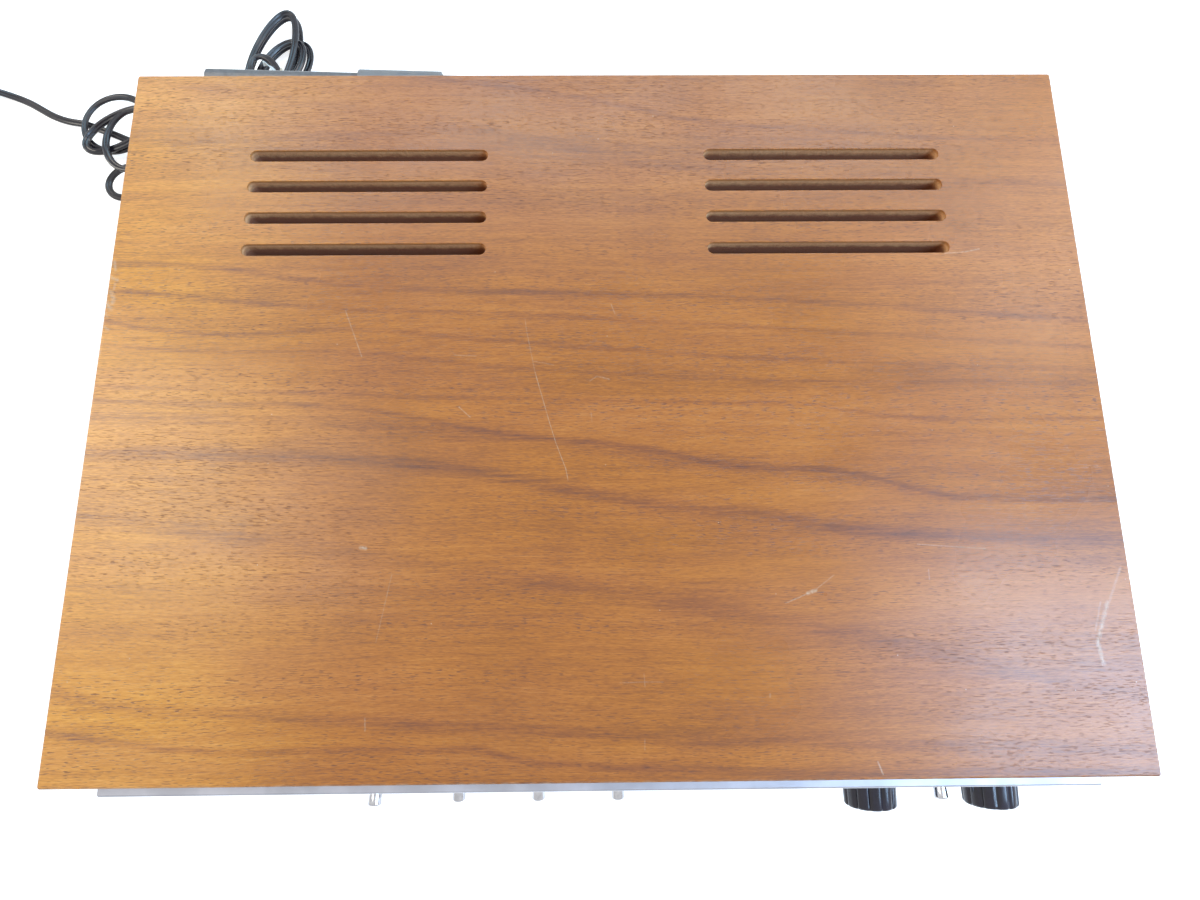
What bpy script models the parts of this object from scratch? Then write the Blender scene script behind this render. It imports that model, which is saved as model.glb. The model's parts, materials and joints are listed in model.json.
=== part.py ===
"""Stereo receiver in a walnut case: slotted top, fascia with knobs and levers, tuner drive, chassis and mains lead.

Metres, +Z up. The front faces -Y and +X is the right hand of someone who stands before it. The origin lies on the
table, under the middle of the box that the receiver fills without its lead.
"""
import math

import bmesh
import bpy
import numpy as np
from mathutils import Matrix

for leftover in list(bpy.data.objects):
    bpy.data.objects.remove(leftover, do_unlink=True)

# Fits that many pieces share
FIT = 0.0003            # gap left between pieces that touch
RUNNING = 0.0005        # air round what turns, slides or swings
OVERRUN = 0.002         # how far a cutter passes the face that it cuts
ROUND_SHARE = 0.5       # a bevel whose profile has this share is a true round

# Cabinet
CASE_WIDTH = 0.440
CASE_DEPTH = 0.318
CASE_HEIGHT = 0.131
BOARD = 0.014           # top and side boards
BOTTOM_BOARD = 0.009
FOOT_HEIGHT = 0.015
FOOT_TOP_RADIUS = 0.0115
FOOT_TREAD_RADIUS = 0.009
FOOT_EDGE = 0.0015
FOOT_SIDE_INSET = 0.045
FOOT_END_INSET = 0.040

# Vent slots in the top board
SLOT_LENGTH = 0.111
SLOT_WIDTH = 0.0056
SLOT_PITCH = 0.0159
SLOT_ROWS = 4
SLOT_REAR_INSET = 0.0434
LEFT_SLOTS_SHARE = -0.48591     # of half the case width, as every share of a place along X
RIGHT_SLOTS_SHARE = 0.47955

# Vent slots in the bottom board
BOTTOM_SLOT_LENGTH = 0.080
BOTTOM_SLOT_WIDTH = 0.006
BOTTOM_SLOT_PITCH = 0.020
BOTTOM_SLOT_ROWS = 4
BOTTOM_SLOT_REAR_INSET = 0.050
BOTTOM_SLOTS_SHARE = 0.45455

# Fascia, a tray of aluminium that reaches back to the chassis
FASCIA_PROUD = 0.0067
FASCIA_PLATE = 0.003
FASCIA_RIM = 0.002
FASCIA_EDGE = 0.0008
WINDOW_SIDE_INSET = 0.035
WINDOW_HEIGHT = 0.0280
WINDOW_DROP = 0.0055     # below the underside of the top board
WINDOW_CORNER = 0.003

# Dial behind the window
GLASS_THICKNESS = 0.0025
GLASS_LAP = 0.003
DIAL_SHEET = 0.0012
DIAL_DEPTH = 0.0026     # dial face behind the front edge of the wood
DIAL_METER_GAP = 0.010
DIAL_END_INSET = 0.003
DIAL_FLANGE = 0.008
DIAL_LAP = 0.0025        # how far the dial reaches below the window
POINTER_THICKNESS = 0.0008
POINTER_WIDTH = 0.0016
POINTER_RISE = 0.0025    # its lower end above the edge of the window
POINTER_TAIL = 0.006
METER_END_INSET = 0.003
METER_WIDTH = 0.0440
METER_LAP = 0.0010
METER_WALL = 0.0015
METER_WELL = 0.0050
NEEDLE_LENGTH = 0.0170
NEEDLE_WIDTH = 0.0006
NEEDLE_HUB_RADIUS = 0.0017
NEEDLE_PIVOT_RISE = 0.0050
NEEDLE_THICKNESS = 0.0008
NEEDLE_REST = math.radians(-38.0)

# Rows of controls
UPPER_ROW_SHARE = 0.70642   # of the way from the tuning shaft to the window
CONTROL_LIFT = 0.0020       # between the chassis floor and the lowest parts of the lower row
BASS_SHARE = 0.57727
TREBLE_SHARE = 0.83727
SPEAKER_SHARE = -0.76364
JACK_SHARE = -0.54545
BALANCE_SHARE = -0.32727
VOLUME_SHARE = -0.02727
SELECTOR_SHARE = 0.29091
TUNING_SHARE = 0.68182

# Fluted knobs
FLUTES = 12
FLUTE_POINTS = 3        # points round each flute
SMALL_KNOB_RADIUS = 0.0124
SMALL_KNOB_LENGTH = 0.0198
LARGE_KNOB_RADIUS = 0.0160
LARGE_KNOB_LENGTH = 0.0175
TUNING_KNOB_RADIUS = 0.0180
TUNING_KNOB_LENGTH = 0.0175
KNOB_GAP = 0.0006       # between the skirt and the fascia
KNOB_SKIRT = 0.0013     # how far the skirt stands out
KNOB_SKIRT_HEIGHT = 0.0016
KNOB_CHAMFER = 0.0016
KNOB_TAPER = 0.0004
KNOB_DISH = 0.0006
GROOVE = 0.0010
SHAFT_RADIUS = 0.0030

# Potentiometers and rotary switches
CAN_RADIUS = 0.0115
CAN_DEPTH = 0.0110
SWITCH_RADIUS = 0.0145
SWITCH_DEPTH = 0.0150
BUSH_RADIUS = 0.0047
BUSH_LENGTH = 0.0090    # in front of the chassis wall
CONTROL_SIDES = 12

# Lever switches
LEVER_FIRST_SHARE = -0.48227
LEVER_PITCH = 0.0379
LEVER_COUNT = 4
FILTER_LEVER_SHARE = 0.72409
LEVER_PIVOT_DEPTH = 0.0040
LEVER_REACH = 0.0234    # tip ahead of the front edge of the wood
LEVER_BALL_RADIUS = 0.0035
LEVER_NECK_RADIUS = 0.0019
LEVER_TIP_RADIUS = 0.0031
LEVER_EDGE = 0.0004
LEVER_THROW = math.radians(8.0)
LEVER_SLOT_WIDTH = 0.0070
LEVER_SLOT_HEIGHT = 0.0105
LEVER_EAR = 0.0013
LEVER_EAR_HALF_HEIGHT = 0.0045
BANK_SHEET = 0.0013
BANK_HALF_HEIGHT = 0.0110
BANK_END = 0.0080
SWITCH_BODY_WIDTH = 0.0100
SWITCH_BODY_HEIGHT = 0.0170
SWITCH_BODY_DEPTH = 0.0160

# Headphone socket
JACK_BORE_RADIUS = 0.0033
JACK_BARREL_RADIUS = 0.0047
JACK_FLANGE_RADIUS = 0.0068
JACK_FLANGE = 0.0012
JACK_BODY_RADIUS = 0.0078
JACK_BODY_LENGTH = 0.0220
JACK_END_WALL = 0.0020

# Chassis
SHEET = 0.0012
CHASSIS_DEPTH = 0.0120  # chassis front wall behind the front edge of the wood
CHASSIS_TOP_GAP = 0.0055
CHASSIS_REAR_LIP = 0.0060
CHASSIS_SIDE_GAP = 0.0010
REAR_RECESS = 0.0060
PANEL_SIDES = 12
SMALL_SIDES = 8
FOOT_SIDES = 16
ROUND_SIDES = 20

# Tuner drive and variable capacitor
SPOOL_RADIUS = 0.0040
FLYWHEEL_RADIUS = 0.0165
FLYWHEEL_BORE_RADIUS = 0.0033
FLYWHEEL_THICKNESS = 0.0100
FLYWHEEL_DEPTH = 0.0150
FLYWHEEL_WEB = 0.0040
FLYWHEEL_RIM = 0.0050
FLYWHEEL_HUB = 0.0060
DRUM_SHARE = 0.40909
DRUM_TOP_GAP = 0.0095
DRUM_LOW_GAP = 0.0070
DRUM_DEPTH = 0.0295
DRUM_THICKNESS = 0.0050
DRUM_GROOVE = 0.0015
DRUM_WEB = 0.0018
DRUM_RIM = 0.0050
DRUM_HUB = 0.0070
DRUM_BORE_RADIUS = 0.0033
DRUM_SIDES = 28
VANE_COUNT = 5
VANE_PITCH = 0.0040
VANE_THICKNESS = 0.0009
VANE_RADIUS = 0.0180
VANE_HUB_RADIUS = 0.0050
VANE_POINTS = 14
FRAME_DEPTH = 0.0380
FRAME_WALL = 0.0020
FRAME_HALF_WIDTH = 0.0220
FRAME_HEAD = 0.0210     # frame above the shaft
FRAME_DROP = 0.0210     # frame base below the shaft
STATOR_INNER_X = 0.0065
STATOR_OUTER_X = 0.0205
SHAFT_CLEARANCE = 0.0005

# Power supply and amplifier
CORE_WIDTH = 0.066
CORE_DEPTH = 0.056
CORE_HEIGHT = 0.054
CORE_SIDE_GAP = 0.015
CORE_REAR_INSET = 0.070
COIL_WIDTH = 0.044
COIL_DEPTH = 0.080
COIL_HEIGHT = 0.036
CORE_BEVEL = 0.0030
CORE_FOOT = 0.0020
CORE_FOOT_WIDTH = 0.082
CORE_FOOT_DEPTH = 0.020
CAPACITOR_RADIUS = 0.0175
CAPACITOR_HEIGHT = 0.072
CAPACITOR_EDGE = 0.0015
CAPACITOR_WELL = 0.0020
CAPACITOR_RIM = 0.0025
CAPACITOR_GAP = 0.0115
CAPACITOR_PITCH = 0.044
CAPACITOR_REAR_INSET = 0.062
SINK_WIDTH = 0.116
SINK_DEPTH = 0.056
SINK_HEIGHT = 0.078
SINK_BASE = 0.004
SINK_FIN = 0.0018
SINK_FINS = 11
SINK_REAR_INSET = 0.036

# Circuit board with its fitted components
BOARD_FRONT = 0.078
BOARD_CORE_GAP = 0.010  # between the board and the transformer
BOARD_SIDE_GAP = 0.021
BOARD_THICKNESS = 0.0016
BOARD_RISE = 0.0080
SPACER_RADIUS = 0.0030
SPACER_INSET = 0.0100
SINK_IN = 0.0005        # how deep a component stands in the board
CAN_SIDE = 0.0100
CAN_HEIGHT = 0.0130
RELAY_WIDTH = 0.0220
RELAY_HEIGHT = 0.0170
DRUM_CAP_RADIUS = 0.0060
DRUM_CAP_HEIGHT = 0.0200

# Rear fittings
GLAND_SHARE = -0.75
GLAND_Z = 0.0400
GLAND_HOLE_RADIUS = 0.0060
GLAND_FLANGE_RADIUS = 0.0078
GLAND_FLANGE = 0.0020
GLAND_NOSE_LENGTH = 0.0220
GLAND_TIP_RADIUS = 0.0038
OUTLET_SHARE = -0.47727
OUTLET_Z = 0.0480
OUTLET_WIDTH = 0.0620
OUTLET_HEIGHT = 0.0300
OUTLET_DEPTH = 0.0060
OUTLET_SLOT = 0.0018
OUTLET_BLADE = 0.0070
OUTLET_BLADE_GAP = 0.0127
OUTLET_PAIR_PITCH = 0.0300
PHONO_SHARE = -0.22727
PHONO_Z = 0.0420
PHONO_PITCH_X = 0.0190
PHONO_PITCH_Z = 0.0200
PHONO_COLUMNS = 5
PHONO_ROWS = 2
PHONO_RADIUS = 0.0041
PHONO_REACH = 0.0080
PHONO_BORE_RADIUS = 0.0017
PHONO_BORE_DEPTH = 0.0070
PHONO_PLATE = 0.0020
PHONO_EDGE = 0.0080
SPEAKER_TERMINALS_SHARE = 0.56818
SPEAKER_TERMINALS_Z = 0.0500
TERMINAL_PITCH = 0.0130
TERMINAL_COUNT = 8
TERMINAL_BLOCK_HEIGHT = 0.0220
TERMINAL_BLOCK_DEPTH = 0.0050
TERMINAL_SCREW_RADIUS = 0.0036
TERMINAL_SCREW_REACH = 0.0035
TERMINAL_RIB = 0.0015
TERMINAL_RIB_REACH = 0.0040
AERIAL_TERMINALS_SHARE = 0.31818
AERIAL_TERMINALS_DROP = 0.0320
AERIAL_TERMINAL_COUNT = 4

# Swing-out aerial
AERIAL_PIVOT_SHARE = -0.20455
AERIAL_PIVOT_REACH = 0.0124     # pivot behind the rear edge of the wood
AERIAL_ROD_DROP = 0.0100         # below the underside of the top board
AERIAL_ROD_RADIUS = 0.0050
AERIAL_ROD_NEAR = 0.0160        # rod's near end from the pivot
AERIAL_ROD_LENGTH = 0.1400
AERIAL_COIL_RADIUS = 0.0066
AERIAL_COIL_LENGTH = 0.0420
AERIAL_COIL_NEAR = 0.0350
AERIAL_ARM_HALF_WIDTH = 0.0040
AERIAL_ARM_THICKNESS = 0.0030
AERIAL_ARM_END = 0.0060
AERIAL_CRADLE = 0.0060
AERIAL_PIN_RADIUS = 0.0025
AERIAL_LUG_THICKNESS = 0.0050
AERIAL_LUG_HALF_WIDTH = 0.0060
AERIAL_SWING = math.radians(-2.0)
AERIAL_SIDES = 12

# Mains lead, a limp round cord that lies on the table behind the case and to its left
CORD_DIAMETER = 0.0034
CORD_STEP = 0.0080      # between the points of a free stretch
CORD_SPACE = 0.0005     # kept between crossing strands
TABLE_GAP = 0.0001
LEVEL = CORD_DIAMETER + CORD_SPACE
LOOP_POINTS = 24

# Each loop: half width, half length, lean, taper towards its far end, level above the table.
# A loop of the hank hangs from the point that the tie holds. A loose loop has a middle of its own.
HANK_HUB = (-0.2168, 0.2652)
HANK_HOLD = math.radians(-30.0)
HANK_START = math.radians(-45.0)
HANK_FIRST_SHARE = 0.0
HANK_LAST_SHARE = 0.62
HANK_BLEND_SHARE = 0.30
HANK_CLIMB_SHARE = 0.20
HANK_LIFT = 0.0014
HANK_LOOPS = [
    (0.0085, 0.0150, math.radians(-28.0), 0.0, 4),
    (0.0135, 0.0360, math.radians(13.0), 0.15, 3),
    (0.0120, 0.0225, math.radians(28.0), 0.0, 2),
    (0.0155, 0.0380, math.radians(12.5), 0.15, 1),
    (0.0140, 0.0260, math.radians(28.0), 0.0, 0),
]
LOOSE_START = math.radians(60.0)
LOOSE_FIRST_SHARE = 0.0
LOOSE_LAST_SHARE = 0.75
LOOSE_BLEND_SHARE = 0.40
LOOSE_CLIMB_SHARE = 0.20
LOOSE_MIDDLES = [(-0.3335, 0.2395), (-0.3275, 0.2320), (-0.3155, 0.2220), (-0.3195, 0.1945)]
LOOSE_LOOPS = [
    (0.0220, 0.0215, 0.0, 0.0, 1),
    (0.0250, 0.0120, math.radians(-33.0), 0.0, 2),
    (0.0175, 0.0230, 0.0, 0.0, 3),
    (0.0135, 0.0115, math.radians(-25.0), 0.0, 1),
]

# Routes of the free stretches, chosen by hand
NEAR_ROUTE = [(-0.1650, 0.1840, 0.0398), (-0.1652, 0.1950, 0.0375), (-0.1685, 0.2080, 0.0305),
              (-0.1775, 0.2200, 0.0245), (-0.1890, 0.2285, 0.0212)]
LINK_ROUTE = [(-0.2500, 0.2400, 0.0024), (-0.2640, 0.2300, 0.0018), (-0.2790, 0.2290, 0.0018),
              (-0.2920, 0.2380, 0.0030), (-0.3020, 0.2490, 0.0050)]
FAR_ROUTE = [(-0.2960, 0.1960, 0.0018), (-0.2985, 0.2075, 0.0018), (-0.3150, 0.2230, 0.0018),
             (-0.3325, 0.2320, 0.0018), (-0.3479, 0.2383, 0.0018), (-0.3588, 0.2423, 0.0018),
             (-0.3674, 0.2439, 0.0018), (-0.3746, 0.2459, 0.0018), (-0.3821, 0.2491, 0.0018),
             (-0.3897, 0.2535, 0.0018), (-0.3973, 0.2580, 0.0018), (-0.4049, 0.2616, 0.0020),
             (-0.4123, 0.2640, 0.0032), (-0.4195, 0.2656, 0.0050)]

# Plug at the far end, and the tie round the hank
PLUG_REAR = (-0.4290, 0.2672)
PLUG_TURN = math.radians(170.0)
PLUG_LENGTH = 0.0300
PLUG_WIDTH = 0.0240
PLUG_HEIGHT = 0.0130
PLUG_REAR_SHARE = 0.45  # width at the cord's end
PLUG_BEVEL = 0.0025
PIN_LENGTH = 0.0165
PIN_WIDTH = 0.0063
PIN_THICKNESS = 0.0015
PIN_GAP = 0.0127
TIE_TURN = math.radians(-20.0)
TIE_LENGTH = 0.0030
TIE_STRAP = 0.0008
TIE_HALF_WIDTH = 0.0030
TIE_EAR = 0.0070
TIE_EAR_RISE = 0.0080

# Places that follow from the sizes above
FRONT_REACH = FASCIA_PROUD + SMALL_KNOB_LENGTH
ROD_FAR = AERIAL_ROD_NEAR + AERIAL_ROD_LENGTH
REAR_REACH = (AERIAL_PIVOT_REACH - ROD_FAR * math.sin(AERIAL_SWING)
              + AERIAL_ROD_RADIUS * math.cos(AERIAL_SWING))
FRONT_Y = (FRONT_REACH - REAR_REACH - CASE_DEPTH) / 2
REAR_Y = FRONT_Y + CASE_DEPTH
HALF_WIDTH = CASE_WIDTH / 2
INNER_HALF = HALF_WIDTH - BOARD
TOP_Z = FOOT_HEIGHT + CASE_HEIGHT
CEILING_Z = TOP_Z - BOARD
FLOOR_Z = FOOT_HEIGHT + BOTTOM_BOARD
FASCIA_Y = FRONT_Y - FASCIA_PROUD
CHASSIS_Y = FRONT_Y + CHASSIS_DEPTH
CHASSIS_FLOOR_Z = FLOOR_Z + FIT + SHEET
PANEL_Y = REAR_Y - REAR_RECESS
CHASSIS_REAR_Y = PANEL_Y - SHEET - FIT
WINDOW_TOP_Z = CEILING_Z - WINDOW_DROP
WINDOW_BOTTOM_Z = WINDOW_TOP_Z - WINDOW_HEIGHT
DIAL_BOTTOM_Z = WINDOW_BOTTOM_Z - DIAL_LAP
DIAL_TOP_Z = WINDOW_TOP_Z - FIT
POINTER_BOTTOM_Z = WINDOW_BOTTOM_Z + POINTER_RISE
METER_BOTTOM_Z = WINDOW_BOTTOM_Z - METER_LAP
METER_TOP_Z = WINDOW_TOP_Z + METER_LAP
LOWER_ROW_Z = CHASSIS_FLOOR_Z + CONTROL_LIFT + SWITCH_RADIUS
TUNING_Z = CHASSIS_FLOOR_Z + CONTROL_LIFT + FLYWHEEL_RADIUS
UPPER_ROW_Z = TUNING_Z + (WINDOW_BOTTOM_Z - TUNING_Z) * UPPER_ROW_SHARE
CHASSIS_FRONT_TOP_Z = CEILING_Z - CHASSIS_TOP_GAP
DRUM_RADIUS = (CEILING_Z - DRUM_TOP_GAP - DRUM_LOW_GAP - CHASSIS_FLOOR_Z) / 2
DRUM_Z = CHASSIS_FLOOR_Z + DRUM_LOW_GAP + DRUM_RADIUS
AERIAL_TERMINALS_Z = CEILING_Z - AERIAL_TERMINALS_DROP
AERIAL_ROD_Z = CEILING_Z - AERIAL_ROD_DROP
LEFT_SLOTS_X = HALF_WIDTH * LEFT_SLOTS_SHARE
RIGHT_SLOTS_X = HALF_WIDTH * RIGHT_SLOTS_SHARE
BOTTOM_SLOTS_X = HALF_WIDTH * BOTTOM_SLOTS_SHARE
WINDOW_HALF_WIDTH = HALF_WIDTH - WINDOW_SIDE_INSET
METER_X = METER_WIDTH / 2 + METER_END_INSET - WINDOW_HALF_WIDTH
DIAL_LEFT_X = METER_X + METER_WIDTH / 2 + DIAL_METER_GAP
DIAL_RIGHT_X = WINDOW_HALF_WIDTH - DIAL_END_INSET
POINTER_X = (DIAL_LEFT_X + DIAL_RIGHT_X) / 2
BASS_X = HALF_WIDTH * BASS_SHARE
TREBLE_X = HALF_WIDTH * TREBLE_SHARE
SPEAKER_X = HALF_WIDTH * SPEAKER_SHARE
JACK_X = HALF_WIDTH * JACK_SHARE
BALANCE_X = HALF_WIDTH * BALANCE_SHARE
VOLUME_X = HALF_WIDTH * VOLUME_SHARE
SELECTOR_X = HALF_WIDTH * SELECTOR_SHARE
TUNING_X = HALF_WIDTH * TUNING_SHARE
LEVER_FIRST_X = HALF_WIDTH * LEVER_FIRST_SHARE
FILTER_LEVER_X = HALF_WIDTH * FILTER_LEVER_SHARE
DRUM_X = HALF_WIDTH * DRUM_SHARE
CORE_X = CORE_SIDE_GAP + CORE_FOOT_WIDTH / 2 - INNER_HALF
CAPACITOR_FIRST_X = CORE_X + CORE_FOOT_WIDTH / 2 + CAPACITOR_GAP + CAPACITOR_RADIUS
BOARD_HALF_WIDTH = INNER_HALF - BOARD_SIDE_GAP
BOARD_LENGTH = CASE_DEPTH - CORE_REAR_INSET - COIL_DEPTH / 2 - BOARD_CORE_GAP - BOARD_FRONT
GLAND_X = HALF_WIDTH * GLAND_SHARE
OUTLET_X = HALF_WIDTH * OUTLET_SHARE
PHONO_X = HALF_WIDTH * PHONO_SHARE
SPEAKER_TERMINALS_X = HALF_WIDTH * SPEAKER_TERMINALS_SHARE
AERIAL_TERMINALS_X = HALF_WIDTH * AERIAL_TERMINALS_SHARE
AERIAL_PIVOT_X = HALF_WIDTH * AERIAL_PIVOT_SHARE
LEVER_PLACES = [LEVER_FIRST_X + LEVER_PITCH * count for count in range(LEVER_COUNT)] + [FILTER_LEVER_X]
QUARTER = math.pi / 2


def finish(name, colour, roughness, metallic=0.0, alpha=1.0):
    """A plain Principled material."""
    material = bpy.data.materials.new(name)
    material.use_nodes = True
    shader = material.node_tree.nodes["Principled BSDF"]
    shader.inputs["Base Color"].default_value = (*colour, 1.0)
    shader.inputs["Roughness"].default_value = roughness
    shader.inputs["Metallic"].default_value = metallic
    shader.inputs["Alpha"].default_value = alpha
    return material


WALNUT = finish("walnut", (0.42, 0.21, 0.09), 0.45)
ALUMINIUM = finish("aluminium", (0.75, 0.76, 0.79), 0.35, 1.0)
CHROME = finish("chrome", (0.85, 0.86, 0.88), 0.10, 1.0)
STEEL = finish("steel", (0.55, 0.56, 0.56), 0.45, 1.0)
BLACK_GLOSS = finish("black_gloss", (0.015, 0.015, 0.018), 0.18)
BLACK_MATTE = finish("black_matte", (0.025, 0.025, 0.027), 0.60)
BLACK_IRON = finish("black_iron", (0.03, 0.03, 0.03), 0.50, 0.3)
BLACK_ANODISED = finish("black_anodised", (0.03, 0.03, 0.032), 0.45, 0.6)
RUBBER = finish("rubber", (0.03, 0.03, 0.03), 0.80)
DARK_GLASS = finish("dark_glass", (0.03, 0.04, 0.05), 0.08, 0.0, 0.6)
CREAM = finish("cream", (0.80, 0.77, 0.66), 0.50)
RED = finish("red", (0.65, 0.05, 0.03), 0.40)
PHENOLIC = finish("phenolic", (0.42, 0.25, 0.10), 0.55)
FERRITE = finish("ferrite", (0.20, 0.20, 0.21), 0.50)
BRASS = finish("brass", (0.70, 0.52, 0.22), 0.30, 1.0)
CORD_BLACK = finish("cord_black", (0.03, 0.03, 0.035), 0.50)
PAPER = finish("paper", (0.90, 0.90, 0.86), 0.70)


def solid(name, mesh_data, material, place=(0.0, 0.0, 0.0), turn=(0.0, 0.0, 0.0), smooth=False):
    """Turns mesh data into a named object, placed by its location and rotation."""
    bmesh.ops.recalc_face_normals(mesh_data, faces=mesh_data.faces)
    mesh = bpy.data.meshes.new(name)
    mesh_data.to_mesh(mesh)
    mesh_data.free()
    if smooth:
        mesh.shade_smooth()
        mesh.set_sharp_from_angle(angle=math.radians(35.0))
    if material:
        mesh.materials.append(material)
    made = bpy.data.objects.new(name, mesh)
    made.location = place
    made.rotation_euler = turn
    bpy.context.collection.objects.link(made)
    return made


def shape(target, tool_data, operation="DIFFERENCE", place=(0.0, 0.0, 0.0), turn=(0.0, 0.0, 0.0)):
    """Cuts a tool out of an object, or unites the two, with a Boolean modifier."""
    step = len(target.modifiers)
    tool = solid(f"{target.name}_tool_{step}", tool_data, None, place, turn)
    tool.hide_render = True
    tool.display_type = "WIRE"
    modifier = target.modifiers.new(f"step_{step}", "BOOLEAN")
    modifier.operation = operation
    modifier.solver = "EXACT"
    modifier.object = tool


def add_box(mesh_data, low, high):
    """Adds a box between two corners."""
    size = [top - bottom for bottom, top in zip(low, high)]
    middle = [(top + bottom) / 2 for bottom, top in zip(low, high)]
    matrix = Matrix.Translation(middle) @ Matrix.Diagonal((*size, 1.0))
    return bmesh.ops.create_cube(mesh_data, size=1.0, matrix=matrix)["verts"]


def boxes(*corner_pairs):
    """Mesh data of one or more boxes."""
    mesh_data = bmesh.new()
    for low, high in corner_pairs:
        add_box(mesh_data, low, high)
    return mesh_data


def circle(centre, radius, sides):
    """Points round a circle in a plane."""
    steps = [2 * math.pi * step / sides for step in range(sides)]
    return [(centre[0] + radius * math.cos(a), centre[1] + radius * math.sin(a)) for a in steps]


def rounded(low, high, corner, steps=3):
    """A rectangle with round corners, counter-clockwise from its lower right corner."""
    right, left = high[0] - corner, low[0] + corner
    upper, lower = high[1] - corner, low[1] + corner
    middles = [(right, lower, -QUARTER), (right, upper, 0.0), (left, upper, QUARTER), (left, lower, math.pi)]
    points = []
    for x, y, start in middles:
        for step in range(steps + 1):
            angle = start + QUARTER * step / steps
            points.append((x + corner * math.cos(angle), y + corner * math.sin(angle)))
    return points


def slot(centre, length, width, steps=6):
    """A slot along X with half-round ends."""
    points = []
    for side, start in ((1, -QUARTER), (-1, QUARTER)):
        middle = centre[0] + side * (length - width) / 2
        for step in range(steps + 1):
            angle = start + math.pi * step / steps
            points.append((middle + width / 2 * math.cos(angle), centre[1] + width / 2 * math.sin(angle)))
    return points


def rectangle(low, high):
    """The corners of a rectangle."""
    return [(low[0], low[1]), (high[0], low[1]), (high[0], high[1]), (low[0], high[1])]


def plate(outline, holes=(), thickness=SHEET):
    """A flat plate with holes through it, drawn in X and Y and grown along +Z."""
    mesh_data = bmesh.new()
    edges = []
    for loop in (outline, *holes):
        corners = [mesh_data.verts.new((x, y, 0.0)) for x, y in loop]
        edges += [mesh_data.edges.new((a, b)) for a, b in zip(corners, corners[1:] + corners[:1])]
    bmesh.ops.triangle_fill(mesh_data, use_beauty=True, edges=edges, normal=(0.0, 0.0, 1.0))
    grown = bmesh.ops.extrude_face_region(mesh_data, geom=mesh_data.faces[:])
    moved = [item for item in grown["geom"] if isinstance(item, bmesh.types.BMVert)]
    bmesh.ops.translate(mesh_data, verts=moved, vec=(0.0, 0.0, thickness))
    return mesh_data


def turned(profile, sides):
    """A turned piece round Z. The profile holds radius and height, from axis to axis or closed in a ring."""
    mesh_data = bmesh.new()
    points = [mesh_data.verts.new((radius, 0.0, height)) for radius, height in profile]
    edges = [mesh_data.edges.new(pair) for pair in zip(points, points[1:])]
    if profile[0][0] > 0.0:
        edges.append(mesh_data.edges.new((points[-1], points[0])))
    bmesh.ops.spin(mesh_data, geom=points + edges, cent=(0.0, 0.0, 0.0), axis=(0.0, 0.0, 1.0),
                   angle=2 * math.pi, steps=sides, use_merge=True)
    bmesh.ops.remove_doubles(mesh_data, verts=mesh_data.verts, dist=FIT / 100)
    return mesh_data


def lofted(rings):
    """A closed skin through rings of points, with a flat face on each end."""
    mesh_data = bmesh.new()
    rows = [[mesh_data.verts.new(point) for point in ring] for ring in rings]
    for row, following in zip(rows, rows[1:]):
        for index in range(len(row)):
            after = (index + 1) % len(row)
            mesh_data.faces.new((row[index], row[after], following[after], following[index]))
    mesh_data.faces.new(rows[0])
    mesh_data.faces.new(rows[-1])
    return mesh_data


def make_top_board():
    """The slotted top, mitred to the sides along its ends."""
    slots = []
    for middle in (LEFT_SLOTS_X, RIGHT_SLOTS_X):
        for row in range(SLOT_ROWS):
            rear = REAR_Y - SLOT_REAR_INSET - SLOT_PITCH * row
            slots.append(slot((middle, rear), SLOT_LENGTH, SLOT_WIDTH))
    outline = rectangle((-HALF_WIDTH, FRONT_Y), (HALF_WIDTH, REAR_Y))
    top = plate(outline, slots, BOARD)
    for corner in top.verts:
        if corner.co.z < BOARD / 2 and abs(corner.co.x) > INNER_HALF:
            corner.co.x -= math.copysign(BOARD, corner.co.x)
    solid("case_top", top, WALNUT, (0.0, 0.0, CEILING_Z))


def make_side_board(name, side):
    """A side board, mitred to the top along its upper end."""
    mesh_data = boxes(((HALF_WIDTH - BOARD, FRONT_Y, FOOT_HEIGHT), (HALF_WIDTH, REAR_Y, TOP_Z)))
    mitre_gap = FIT * math.sqrt(2)
    for corner in mesh_data.verts:
        if corner.co.z > CEILING_Z:
            inner = corner.co.x < HALF_WIDTH - BOARD / 2
            corner.co.z -= mitre_gap + (BOARD if inner else 0.0)
    if side < 0:
        bmesh.ops.scale(mesh_data, verts=mesh_data.verts, vec=(-1.0, 1.0, 1.0))
    solid(name, mesh_data, WALNUT)


def make_bottom_board():
    """The bottom board, with vent slots under the hot parts."""
    slots = []
    for side in (-1, 1):
        for row in range(BOTTOM_SLOT_ROWS):
            rear = REAR_Y - BOTTOM_SLOT_REAR_INSET - BOTTOM_SLOT_PITCH * row
            slots.append(slot((side * BOTTOM_SLOTS_X, rear), BOTTOM_SLOT_LENGTH, BOTTOM_SLOT_WIDTH, 4))
    low = (-INNER_HALF + FIT, CHASSIS_Y)
    high = (INNER_HALF - FIT, REAR_Y)
    solid("case_bottom", plate(rectangle(low, high), slots, BOTTOM_BOARD), WALNUT, (0.0, 0.0, FOOT_HEIGHT))


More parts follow.
